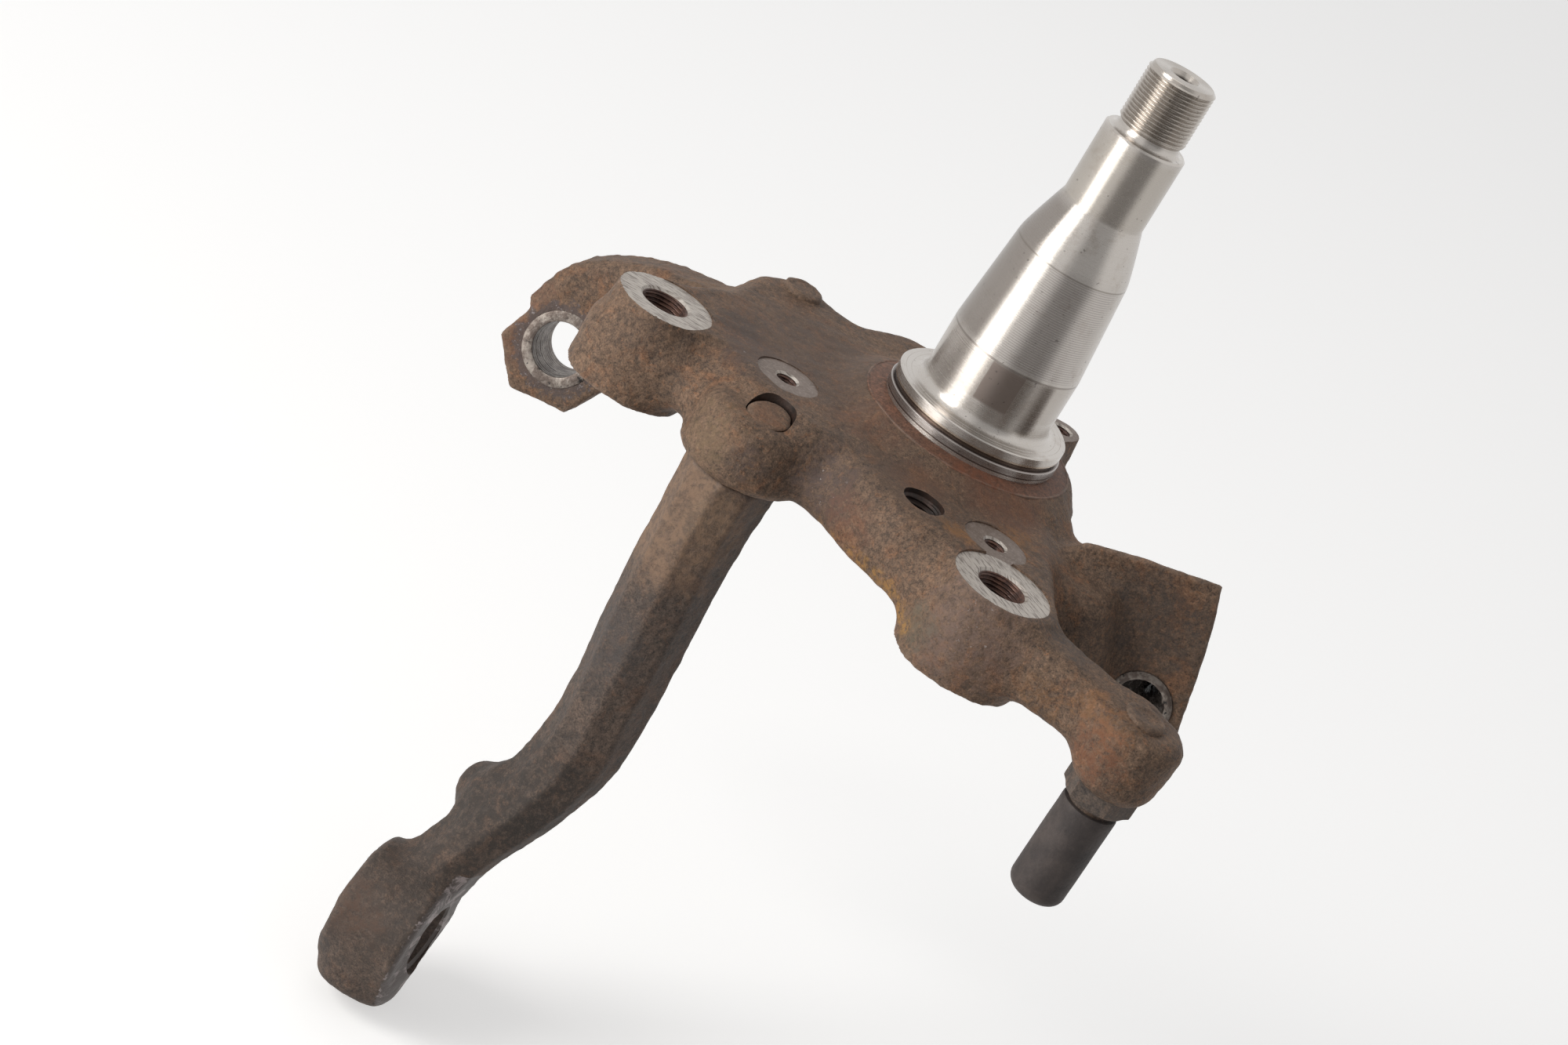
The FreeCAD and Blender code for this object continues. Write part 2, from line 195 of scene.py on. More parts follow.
def roundOut(a, b, k):  # where two solids overlap, with the outer edge rounded to radius k
    return np.minimum(np.maximum(a + k, b + k), 0.0) + np.hypot(np.maximum(a + k, 0), np.maximum(b + k, 0)) - k


def roundIn(a, b, k):  # two solids joined, with a fillet of radius k between them
    return -roundOut(-a, -b, k)


def polygonDistance(x, y, corners):
    # shortest way to a closed outline; the sign comes from how often a ray to the side crosses it
    best, crossings = None, None
    for (ax, ay), (bx, by) in zip(corners, corners[1:] + corners[:1]):
        ex, ey = bx - ax, by - ay
        wx, wy = x - ax, y - ay
        t = np.clip((wx * ex + wy * ey) / (ex * ex + ey * ey), 0.0, 1.0)
        d = (wx - ex * t) ** 2 + (wy - ey * t) ** 2
        over = ((ay > y) != (by > y)) & (x < ex * (y - ay) / np.where(by == ay, 1e-9, by - ay) + ax)
        best = d if best is None else np.minimum(best, d)
        crossings = over if crossings is None else crossings ^ over
    return np.where(crossings, -1.0, 1.0) * np.sqrt(best)


def closedCurve(corners, each):
    # a smooth closed line through the corners: cubic pieces with slopes from the neighbours
    p = np.asarray(corners, float)
    before, after, second = np.roll(p, 1, 0), np.roll(p, -1, 0), np.roll(p, -2, 0)
    t = (np.arange(each) / each)[None, :, None]
    p, before, after, second = (q[:, None, :] for q in (p, before, after, second))
    curve = 0.5 * (2 * p + (after - before) * t + (2 * before - 5 * p + 4 * after - second) * t ** 2
                   + (3 * p - before - 3 * after + second) * t ** 3)
    return curve.reshape(-1, curve.shape[-1])


def openCurve(stations, each):
    # the same for an open line, any number of values per station
    p = np.asarray(stations, float)
    p = np.vstack([2 * p[0] - p[1], p, 2 * p[-1] - p[-2]])
    t = np.linspace(0, len(p) - 3, each * (len(p) - 3) + 1)
    i = np.minimum(t.astype(int), len(p) - 4)
    t = (t - i)[:, None]
    a, b, c, d = p[i], p[i + 1], p[i + 2], p[i + 3]
    return 0.5 * (2 * b + (c - a) * t + (2 * a - 5 * b + 4 * c - d) * t ** 2 + (3 * b - a - 3 * c + d) * t ** 3)


farAway = 40.0  # what the field holds before any shape is joined, further than a blend reaches


class Field:
    # a block of distances on a grid, worked on one neighbourhood at a time
    def __init__(self, low, high, step):
        self.low, self.step = np.array(low, float), step
        self.size = np.ceil((np.array(high) - self.low) / step).astype(int) + 1
        self.d = np.full(self.size, farAway, np.float32)

    def window(self, low, high):
        a = np.clip(np.floor((np.array(low) - self.low) / self.step).astype(int), 0, self.size - 1)
        b = np.clip(np.ceil((np.array(high) - self.low) / self.step).astype(int) + 1, 1, self.size)
        x, y, z = (self.low[i] + self.step * np.arange(a[i], b[i], dtype=np.float32) for i in range(3))
        where = tuple(slice(p, q) for p, q in zip(a, b))
        return where, x[:, None, None], y[None, :, None], z[None, None, :]

    def join(self, low, high, shape, k):
        where, x, y, z = self.window(low, high)
        self.d[where] = roundIn(self.d[where], shape(x, y, z), k)

    def cut(self, low, high, shape, k):
        where, x, y, z = self.window(low, high)
        self.d[where] = roundOut(self.d[where], -shape(x, y, z), k)

    def sample(self, points):
        q = np.clip((points - self.low) / self.step, 0, self.size - 1.001)
        i = q.astype(int)
        return cornerMix(q - i, lambda a, b, c: self.d[i[:, 0] + a, i[:, 1] + b, i[:, 2] + c])

    def slope(self, points):
        out = np.empty_like(points)
        for axis in range(3):
            shift = np.zeros(3)
            shift[axis] = self.step
            out[:, axis] = self.sample(points + shift) - self.sample(points - shift)
        return out / np.maximum(np.linalg.norm(out, axis=1, keepdims=True), 1e-6)

    def surface(self):
        # one vertex in each grid cell that the surface passes, at the mean of its edge crossings,
        # and one quad round each grid edge whose ends lie on different sides
        inside = self.d < 0
        s = inside.astype(np.int8)
        total = sum(s[a:s.shape[0] - 1 + a, b:s.shape[1] - 1 + b, c:s.shape[2] - 1 + c] for a, b,
                    c in cubeCorners)
        mixed = (total > 0) & (total < 8)
        cells = np.argwhere(mixed)
        number = np.full(mixed.shape, -1, np.int64)
        number[mixed] = np.arange(len(cells))
        value = {o: self.d[cells[:, 0] + o[0], cells[:, 1] + o[1], cells[:, 2] + o[2]] for o in cubeCorners}
        place, count = np.zeros((len(cells), 3)), np.zeros((len(cells), 1))
        for o in cubeCorners:
            for axis in range(3):
                if o[axis] == 0:
                    e = tuple(v + (i == axis) for i, v in enumerate(o))
                    va, vb = value[o], value[e]
                    cross = ((va < 0) != (vb < 0))[:, None]
                    t = (va / np.where(va == vb, 1.0, va - vb))[:, None]
                    place += np.where(cross, np.array(o) + t * (np.array(e) - np.array(o)), 0.0)
                    count += cross
        points = self.low + (cells + place / count) * self.step
        quads = []
        for axis in range(3):
            near = np.moveaxis(inside, axis, 0)
            ids = np.moveaxis(number, axis, 0)
            change = near[:-1, 1:-1, 1:-1] != near[1:, 1:-1, 1:-1]
            a, b, c = np.nonzero(change)
            q = np.stack([ids[a, b, c], ids[a, b + 1, c], ids[a, b + 1, c + 1], ids[a, b, c + 1]], -1)
            flip = near[a, b + 1, c + 1] == (axis == 1)
            q[flip] = q[flip][:, ::-1]
            quads.append(q)
        return points, np.vstack(quads)

    def relaxed(self, rounds):
        # slides each vertex toward the middle of its neighbours, then back onto the surface
        points, quads = self.surface()
        edges = np.vstack([quads[:, [0, 1]], quads[:, [1, 2]], quads[:, [2, 3]], quads[:, [3, 0]]])
        for _ in range(rounds):
            total = np.zeros_like(points)
            for axis in range(3):
                total[:, axis] = np.bincount(edges[:, 0], points[edges[:, 1], axis], len(points))
                total[:, axis] += np.bincount(edges[:, 1], points[edges[:, 0], axis], len(points))
            count = np.bincount(edges.ravel(), minlength=len(points))[:, None]
            points = 0.4 * points + 0.6 * total / count
            n = self.slope(points)
            points = points - n * np.clip(self.sample(points), -self.step, self.step)[:, None]
        return points, quads, self.slope(points)


def coneShape(x0, y0, lowZ, lowR, topZ, topR, edge):
    # distance to a cone stump on Z: radius grows in a line from lowZ to topZ, rims rounded
    lean = math.cos(math.atan2(abs(topR - lowR), topZ - lowZ))

    def shape(x, y, z):
        t = np.clip((z - lowZ) / (topZ - lowZ), 0.0, 1.0)
        wall = (np.hypot(x - x0, y - y0) - (lowR + (topR - lowR) * t)) * lean
        return roundOut(wall, np.maximum(z - topZ, lowZ - z), edge)
    return shape


def sweptShape(stations, across, corner, each=4):
    # a rounded bar carried along a line: stations hold x, y, z, half width, half thickness
    line = openCurve(stations, each)

    def shape(x, y, z):
        best = None
        for p, q in zip(line[:-1], line[1:]):
            run = q[:3] - p[:3]
            length = np.linalg.norm(run)
            run = run / length
            side = across - run * np.dot(across, run)
            side /= np.linalg.norm(side)
            up = np.cross(run, side)
            rx, ry, rz = x - p[0], y - p[1], z - p[2]
            along = rx * run[0] + ry * run[1] + rz * run[2]
            t = np.clip(along / length, 0.0, 1.0)
            a = np.abs(rx * side[0] + ry * side[1] + rz * side[2]) - (p[3] + (q[3] - p[3]) * t) + corner
            b = np.abs(rx * up[0] + ry * up[1] + rz * up[2]) - (p[4] + (q[4] - p[4]) * t) + corner
            d = np.hypot(np.maximum(a, 0), np.maximum(b, 0)) + np.minimum(np.maximum(a, b), 0) - corner
            beyond = np.maximum(np.maximum(along - length, -along) - 1.5, 0.0)  # runs overlap at a bend
            d = np.where(beyond > 0, np.hypot(np.maximum(d, 0), beyond), d)
            best = d if best is None else np.minimum(best, d)
        return best
    return shape


# Materials.

def feed(tree, socket, value):
    # a socket takes another node's output, a value, or a colour as three numbers
    if isinstance(value, bpy.types.NodeSocket):
        tree.links.new(value, socket)
    elif socket.type == "RGBA" and len(value) == 3:
        socket.default_value = (*value, 1.0)
    else:
        socket.default_value = value


def put(tree, kind, settings=None, **feeds):
    # adds a node; feeds are its inputs by name, spaces left out
    n = tree.nodes.new(kind)
    for key, value in (settings or {}).items():
        setattr(n, key, value)
    for key, value in feeds.items():
        feed(tree, next(s for s in n.inputs if s.enabled and s.name.replace(" ", "") == key), value)
    return n


def sums(tree, operation, a, b=0.0):
    n = put(tree, "ShaderNodeMath", {"operation": operation})
    feed(tree, n.inputs[0], a)
    feed(tree, n.inputs[1], b)
    return n.outputs[0]


def times(tree, a, b):
    return sums(tree, "MULTIPLY", a, b)


def plus(tree, a, b):
    return sums(tree, "ADD", a, b)


def less(tree, a, b):
    return sums(tree, "SUBTRACT", a, b)


def vectors(tree, operation, a, b=None, out="Vector"):
    n = put(tree, "ShaderNodeVectorMath", {"operation": operation})
    feed(tree, n.inputs[0], a)
    if b is not None:
        feed(tree, n.inputs[1], b)
    return n.outputs[out]


def parted(tree, way):
    return put(tree, "ShaderNodeSeparateXYZ", None, Vector=way).outputs


def blendColour(tree, amount, a, b):
    n = put(tree, "ShaderNodeMix", {"data_type": "RGBA"})
    for socket, value in ((n.inputs[0], amount), (n.inputs[6], a), (n.inputs[7], b)):
        feed(tree, socket, value)
    return n.outputs[2]


def glaze(tree, colour, mask, amount, tint):  # a tint over a colour, by a share of a mask
    return blendColour(tree, times(tree, mask, amount), colour, tint)


def between(tree, value, low, high):  # 0 below low, 1 above high, smooth between
    n = put(tree, "ShaderNodeMapRange", {"interpolation_type": "SMOOTHSTEP"},
            Value=value, FromMin=low, FromMax=high)
    return n.outputs[0]


def cloud(tree, where, scale, detail=4.0, rough=0.6, distortion=0.0):
    n = put(tree, "ShaderNodeTexNoise", None, Vector=where, Scale=scale, Detail=detail, Roughness=rough,
            Distortion=distortion)
    return n.outputs[0]


def shaderGroup(name, inputs, outputs):
    tree = bpy.data.node_groups.new(name, "ShaderNodeTree")
    for label, kind, value in inputs:
        socket = tree.interface.new_socket(label, in_out="INPUT", socket_type="NodeSocket" + kind)
        socket.default_value = (*value, 1.0) if kind == "Color" else value
    for label, kind in outputs:
        tree.interface.new_socket(label, in_out="OUTPUT", socket_type="NodeSocket" + kind)
    return tree, tree.nodes.new("NodeGroupInput").outputs, tree.nodes.new("NodeGroupOutput").inputs


def useGroup(tree, group, **feeds):
    return put(tree, "ShaderNodeGroup", {"node_tree": groups[group]}, **feeds).outputs


def objectSpot(tree):
    return tree.nodes.new("ShaderNodeTexCoord").outputs["Object"]


def newMaterial(name):
    material = bpy.data.materials.new(name)
    material.use_nodes = True
    tree = material.node_tree
    tree.nodes.clear()
    shader = tree.nodes.new("ShaderNodeBsdfPrincipled")
    out = tree.nodes.new("ShaderNodeOutputMaterial")
    tree.links.new(shader.outputs[0], out.inputs[0])
    return material, tree, shader, objectSpot(tree)


def dress(tree, shader, colour, rough, height=None, depth=0.0, metallic=0.0, specular=0.5):
    # joins the finish to the shader; height is bump, depth its full swing in metres
    for name, value in (("Base Color", colour), ("Roughness", rough), ("Metallic", metallic),
                        ("Specular IOR Level", specular)):
        feed(tree, shader.inputs[name], value)
    if height is not None:
        bump = put(tree, "ShaderNodeBump", None, Height=height, Distance=depth, Strength=1.0)
        tree.links.new(bump.outputs[0], shader.inputs["Normal"])


def rustySkin():
    # forged skin: broad and small mottling between a dark and a middle tone, rust patches, a fine grain
    tree, i, o = shaderGroup("rustySkin", [
        ("Dark", "Color", (0.05, 0.04, 0.034)), ("Middle", "Color", (0.2, 0.13, 0.09)),
        ("Rust", "Color", (0.3, 0.13, 0.05)), ("Rust Amount", "Float", 0.5)],
        [("Color", "Color"), ("Roughness", "Float"), ("Height", "Float")])
    where = objectSpot(tree)
    broad = cloud(tree, where, 24.0, 3.0, 0.6, 0.4)
    patch = cloud(tree, where, 150.0, 6.0, 0.75, 0.3)
    grain = cloud(tree, where, 520.0, 4.0, 0.75)
    speck = cloud(tree, where, 1600.0, 2.0, 0.6)
    tone = plus(tree, times(tree, broad, 0.3), times(tree, patch, 0.35))
    tone = plus(tree, tone, times(tree, grain, 0.35))
    colour = blendColour(tree, between(tree, tone, 0.36, 0.62), i["Dark"], i["Middle"])
    rustAt = between(tree, cloud(tree, where, 60.0, 6.0, 0.72, 0.8), 0.50, 0.66)
    colour = glaze(tree, colour, rustAt, i["Rust Amount"], i["Rust"])
    fleck = between(tree, cloud(tree, where, 360.0, 4.0, 0.75, 0.7), 0.57, 0.66)
    colour = glaze(tree, colour, fleck, i["Rust Amount"], i["Rust"])
    light = plus(tree, times(tree, grain, 2.2), -0.1)
    light = plus(tree, light, times(tree, less(tree, speck, 0.5), 2.0))
    scaled = put(tree, "ShaderNodeVectorMath", {"operation": "SCALE"})
    tree.links.new(colour, scaled.inputs[0])
    tree.links.new(light, scaled.inputs["Scale"])
    tree.links.new(scaled.outputs[0], o["Color"])
    tree.links.new(plus(tree, times(tree, grain, 0.3), 0.52), o["Roughness"])
    high = plus(tree, times(tree, patch, 0.4), times(tree, grain, 0.45))
    tree.links.new(plus(tree, high, times(tree, speck, 0.15)), o["Height"])
    return tree


def spotStain():
    # a ragged round patch: 1 at its centre, 0 past its radius; the edge is torn by noise
    tree, i, o = shaderGroup("spotStain", [
        ("Centre", "Vector", (0, 0, 0)), ("Radius", "Float", 0.02), ("Ragged", "Float", 0.5),
        ("Broken", "Float", 0.4)],
        [("Mask", "Float")])
    where = objectSpot(tree)
    share = sums(tree, "DIVIDE", vectors(tree, "DISTANCE", where, i["Centre"], "Value"), i["Radius"])
    torn = times(tree, less(tree, cloud(tree, where, 140.0, 5.0, 0.7), 0.5), i["Ragged"])
    near = between(tree, plus(tree, share, times(tree, torn, 2.0)), 1.0, 0.45)
    gaps = less(tree, 1.0, between(tree, cloud(tree, where, 330.0, 5.0, 0.8, 0.4), 0.43, 0.57))
    whole = less(tree, 1.0, times(tree, gaps, i["Broken"]))
    tree.links.new(times(tree, near, whole), o["Mask"])
    return tree


def rubbedEdge():
    # outer edges where the skin is rubbed lighter, from how sharply the surface turns
    tree, i, o = shaderGroup("rubbedEdge", [("Start", "Float", 0.52), ("Full", "Float", 0.6)],
                             [("Mask", "Float")])
    where = objectSpot(tree)
    turn = tree.nodes.new("ShaderNodeNewGeometry").outputs["Pointiness"]
    ragged = times(tree, less(tree, cloud(tree, where, 300.0), 0.5), 0.06)
    tree.links.new(between(tree, plus(tree, turn, ragged), i["Start"], i["Full"]), o["Mask"])
    return tree


def toolLines():
    # lines left by a cutting tool: noise read along one direction only, so it repeats across the rest
    tree, i, o = shaderGroup("toolLines", [
        ("Along", "Float", 0.0), ("Pitch", "Float", 0.0004), ("Drift", "Float", 0.0)], [("Line", "Float")])
    place = put(tree, "ShaderNodeCombineXYZ", None, X=sums(tree, "DIVIDE", i["Along"], i["Pitch"]),
                Y=i["Drift"])
    tree.links.new(cloud(tree, place.outputs[0], 1.0, 3.0, 0.6), o["Line"])
    return tree


groups = {"skin": rustySkin(), "stain": spotStain(), "edge": rubbedEdge(), "lines": toolLines()}


def awayFromZ(tree, where):
    return vectors(tree, "LENGTH", vectors(tree, "MULTIPLY", where, (1.0, 1.0, 0.0)), out="Value")


def stained(tree, colour, centre, radius, tint, amount, ragged):
    # paints one ragged patch; the centre is in millimetres
    mask = useGroup(tree, "stain", Centre=tuple(np.array(centre) * mm), Radius=radius * mm, Ragged=ragged,
                    Broken=min(1.0, 0.8 * ragged))[0]
    return glaze(tree, colour, mask, amount, tint)


def eyeRing(tree, where):
    # a ragged ring round the eye's bush: distance from the bore's axis is |(p - centre) x axis|
    centre, axis = mountSpot("clamp_eye_bore") * mm, mountAxis("clamp_eye_bore")
    off = vectors(tree, "SUBTRACT", where, tuple(centre))
    away = vectors(tree, "LENGTH", vectors(tree, "CROSS_PRODUCT", off, tuple(axis)), out="Value")
    near = vectors(tree, "LENGTH", off, out="Value")
    torn = times(tree, less(tree, cloud(tree, where, 260.0, 5.0, 0.7), 0.5), 0.016)
    ring = between(tree, plus(tree, away, torn), 0.0195, 0.0172)
    return times(tree, ring, between(tree, near, 0.027, 0.025))


def forgedSteel():
    material, tree, shader, where = newMaterial("forgedSteel")
    skin = useGroup(tree, "skin", Dark=(0.08, 0.053, 0.038), Middle=(0.166, 0.104, 0.067),
                    Rust=(0.225, 0.1, 0.045), RustAmount=0.45)
    colour = skin["Color"]
    dull, plum, red = (0.06, 0.049, 0.044), (0.09, 0.063, 0.055), (0.155, 0.07, 0.042)
    orange = (0.25, 0.12, 0.045)
    lowerEdge = ((-6, -72, -41), (4, -75, -41), (12, -78, -41), (20, -82, -40), (27, -84, -40), (34, -86, -40),
                 (41, -88, -41), (48, -90, -42), (54, -93, -44))
    for centre, radius, tint, amount, ragged in (
            ((100, 2, -26), 28, dull, 0.6, 0.9), ((-58, -60, -20), 22, plum, 0.6, 0.8),
            ((36, -26, -13), 24, red, 0.6, 0.5), ((-14, -46, -16), 20, red, 0.45, 0.9),
            ((16, -54, -16), 15, red, 0.4, 0.9),
            ((-3, -77, -30), 17, plum, 0.75, 0.9), ((14, -80, -33), 14, red, 0.5, 1.0),
            ((76, -95, -29), 25, (0.175, 0.118, 0.096), 0.6, 0.9),
            ((58, -95, -40), 11, (0.13, 0.113, 0.08), 0.6, 0.9),
            ((94, -72, -18), 9, dull, 0.7, 0.8), ((104, -73, -21), 9, dull, 0.6, 0.8),
            ((43, -66, -16), 9, orange, 0.75, 1.0), ((52, -38, -17), 10, orange, 0.5, 1.1),
            ((122, -84, -27), 9, orange, 0.4, 1.3), ((134, -86, -27), 10, orange, 0.35, 1.3),
            ((132, -87, -37), 15, (0.2, 0.08, 0.04), 0.65, 1.1), ((106, -84, -36), 12, orange, 0.3, 1.3),
            ((-40, -94, -36), 16, (0.17, 0.115, 0.062), 0.5, 1.0),
            ((-32, -84, -21), 8, (0.15, 0.075, 0.045), 0.6, 0.8), ((-26, -96, -34), 9, plum, 0.6, 1.0),
            ((-90, -62, -42), 18, (0.14, 0.075, 0.055), 0.5, 0.9), ((-170, -24, -84), 22, red, 0.5, 0.9),
            ((-110, -8, -30), 16, (0.21, 0.125, 0.065), 0.45, 1.0),
            # painted shade: the next two broad dark patches darken the plate's top, which faces up into more light
            # than its sides
            ((-52, -28, -16), 48, (0.098, 0.066, 0.051), 0.65, 0.7),
            ((18, -58, -16), 26, (0.105, 0.068, 0.05), 0.55, 0.8),
            ((-76, -52, -18), 13, (0.05, 0.036, 0.03), 0.6, 0.8)):
        colour = stained(tree, colour, centre, radius, tint, amount, ragged)
    for spot in lowerEdge:  # a yellow crust along the near lower edge
        colour = stained(tree, colour, spot, 5.0, (0.33, 0.175, 0.055), 0.85, 1.2)
    pale = between(tree, cloud(tree, where, 560.0, 3.0, 0.65), 0.64, 0.7)
    for spot, radius in (((76, -95, -27), 17), ((-3, -76, -30), 12), ((-60, -60, -22), 14)):
        near = useGroup(tree, "stain", Centre=tuple(np.array(spot) * mm), Radius=radius * mm, Ragged=0.4)[0]
        colour = glaze(tree, colour, times(tree, near, pale), 0.8, (0.36, 0.315, 0.295))
    scale = eyeRing(tree, where)
    # painted glints: light flecks in the dark scale ring round the eye stand in for highlights on the scale
    paintedGlint = between(tree, cloud(tree, where, 700.0, 3.0, 0.7), 0.58, 0.68)
    colour = glaze(tree, colour, scale, 0.8, blendColour(tree, paintedGlint, (0.085, 0.066, 0.062),
                                                         (0.27, 0.25, 0.25)))
    rub = useGroup(tree, "edge", Start=0.515, Full=0.58)[0]
    colour = glaze(tree, colour, rub, 0.35, (0.27, 0.2, 0.155))
    dress(tree, shader, colour, skin["Roughness"], skin["Height"], 0.0009, 0.1, 0.35)
    return material


def milledSteel():
    # cut faces of the bosses: pale, with straight lines from the cutter and stains in the low ones
    material, tree, shader, where = newMaterial("milledSteel")
    x, y, _ = parted(tree, where)
    lower = sums(tree, "GREATER_THAN", x, 0.0)
    upper = less(tree, 1.0, lower)

    def turned(a, b, sign):  # a cos + b sin, where the cutter crossed each ring at its own angle to X
        total = 0.0
        for degrees, ring in ((25.0, upper), (-20.0, lower)):
            c, d = math.cos(math.radians(degrees)), sign * math.sin(math.radians(degrees))
            way = plus(tree, times(tree, a, c), times(tree, b, d))
            total = plus(tree, times(tree, way, ring), total)
        return total
    run = times(tree, turned(x, y, 1.0), 170.0)
    line = useGroup(tree, "lines", Along=turned(y, x, -1.0), Pitch=0.0008, Drift=run)[0]
    dirt = cloud(tree, where, 160.0, 5.0, 0.7)
    colour = blendColour(tree, between(tree, line, 0.38, 0.52), (0.2, 0.17, 0.148), (0.47, 0.425, 0.38))
    colour = glaze(tree, colour, between(tree, dirt, 0.5, 0.68), 0.6, (0.24, 0.2, 0.175))
    dress(tree, shader, colour, 0.48, line, 0.0003, 0.55)
    return material


def spotFaced():
    # the small cut rings round the shield screws: dull grey brown
    material, tree, shader, where = newMaterial("spotFaced")
    dirt = cloud(tree, where, 120.0, 5.0, 0.7)
    fine = cloud(tree, where, 900.0, 3.0, 0.6)
    colour = blendColour(tree, between(tree, dirt, 0.35, 0.68), (0.19, 0.145, 0.12), (0.13, 0.092, 0.07))
    colour = blendColour(tree, between(tree, fine, 0.45, 0.8), colour, (0.27, 0.22, 0.19))
    dress(tree, shader, colour, 0.5, fine, 0.00015, 0.35)
    return material


def mottled(name, noise, edges, tones, rough, depth, metallic, grain=None):
    # two tones mixed by one noise; the bump is that noise, or a finer one of its own scale
    material, tree, shader, where = newMaterial(name)
    dirt = cloud(tree, where, *noise)
    bump = cloud(tree, where, grain, 3.0, 0.6) if grain else dirt
    dress(tree, shader, blendColour(tree, between(tree, dirt, *edges), *tones), rough, bump, depth, metallic)
    return material


def turnedSteel():
    # the spindle: bright steel with fine rings, a browned inner seat with axial streaks and a dark groove
    material, tree, shader, where = newMaterial("turnedSteel")
    x, y, height = parted(tree, where)
    turn = sums(tree, "ARCTAN2", y, x)
    line = useGroup(tree, "lines", Along=height, Pitch=0.0004)[0]
    unrolled = put(tree, "ShaderNodeCombineXYZ", None, X=times(tree, turn, 0.0254),
                   Y=times(tree, height, 0.22), Z=0.0)
    streak = cloud(tree, unrolled.outputs[0], 170.0, 4.0, 0.65)
    dirt = cloud(tree, where, 90.0, 6.0, 0.75, 0.2)
    fine = cloud(tree, where, 1200.0, 3.0, 0.6)

    def band(low, high, soft):  # 1 between two heights, in millimetres
        return times(tree, between(tree, height, (low - soft) * mm, (low + soft) * mm),
                    between(tree, height, (high + soft) * mm, (high - soft) * mm))

    def sector(low, high, soft):  # 1 between two angles round the axis, in degrees
        return times(tree, between(tree, turn, math.radians(low - soft), math.radians(low + soft)),
                    between(tree, turn, math.radians(high + soft), math.radians(high - soft)))

    def both(a, b, amount=1.0):
        return times(tree, times(tree, a, b), amount)
    colour = blendColour(tree, between(tree, dirt, 0.50, 0.78), (0.5, 0.465, 0.43), (0.38, 0.335, 0.295))
    colour = glaze(tree, colour, between(tree, line, 0.55, 0.75), 0.35, (0.29, 0.26, 0.235))
    turned = sums(tree, "SINE", times(tree, height, 2 * math.pi / 0.00085))
    # painted reflection: on the taper, from -82 to -5 degrees round the axis, a darker tint in rings stands in for a
    # dark reflection there
    colour = blendColour(tree, both(both(band(26.5, 63.6, 0.3), sector(-82, -5, 9)),
                                    between(tree, turned, -0.2, 0.6), 0.5), colour, (0.27, 0.24, 0.235))
    torn = times(tree, less(tree, streak, 0.5), 0.5)
    seat = band(9.0, 24.6, 0.5)
    brown = both(seat, between(tree, plus(tree, sector(-79, -49, 3.5), torn), 0.35, 0.65))
    colour = glaze(tree, colour, brown, 0.85, (0.25, 0.2, 0.178))
    colour = blendColour(tree, both(band(4.0, 24.6, 0.8), sector(-35, -20, 4), 0.75), colour,
                         (0.17, 0.15, 0.135))
    colour = glaze(tree, colour, seat, 0.2, (0.3, 0.25, 0.21))
    # partly a dull stain and partly painted shade: a darker tint from -165 to -102 degrees round the axis stands in
    # for a dimmer reflection on that side
    colour = blendColour(tree, both(band(25.6, 84.0, 4.0), sector(-165, -102, 5), 0.8), colour,
                         (0.25, 0.222, 0.2))
    for low, high, soft, tint, amount in (
            (-5.8, -4.0, 0.1, (0.085, 0.05, 0.033), 0.9), (-4.1, -3.3, 0.1, (0.4, 0.3, 0.21), 0.6),
            (-8.9, -8.4, 0.08, (0.07, 0.045, 0.035), 0.9), (-8.5, -5.5, 0.1, (0.2, 0.175, 0.17), 0.55),
            (118.0, 140.6, 0.3, (0.36, 0.32, 0.28), 0.5), (85.0, 112.0, 1.5, (0.4, 0.36, 0.31), 0.4),
            (24.6, 25.4, 0.15, (0.18, 0.15, 0.13), 0.6), (63.6, 64.2, 0.15, (0.2, 0.175, 0.15), 0.6)):
        colour = glaze(tree, colour, band(low, high, soft), amount, tint)
    # painted shade: the centre hole in the tip, within 4.7 mm of the axis, is painted nearly black
    away = awayFromZ(tree, where)
    colour = blendColour(tree, both(band(130.0, 145.0, 0.3), between(tree, away, 0.0047, 0.0038)), colour,
                         (0.03, 0.022, 0.018))
    pits = between(tree, cloud(tree, where, 520.0, 2.0, 0.5), 0.69, 0.74)
    colour = glaze(tree, colour, pits, 0.6, (0.12, 0.1, 0.09))
    rough = plus(tree, times(tree, line, 0.10), times(tree, brown, 0.12))
    rough = plus(tree, rough, plus(tree, times(tree, fine, 0.08), 0.17))
    dress(tree, shader, colour, rough, line, 0.00007, 1.0)
    # the cutter's rings spread a highlight along the axis, a quarter turn from the way they run
    shader.inputs["Anisotropic"].default_value = 0.9
    shader.inputs["Anisotropic Rotation"].default_value = 0.25
    tangent = tree.nodes.new("ShaderNodeTangent")
    tangent.direction_type, tangent.axis = "RADIAL", "Z"
    tree.links.new(tangent.outputs[0], shader.inputs["Tangent"])
    return material


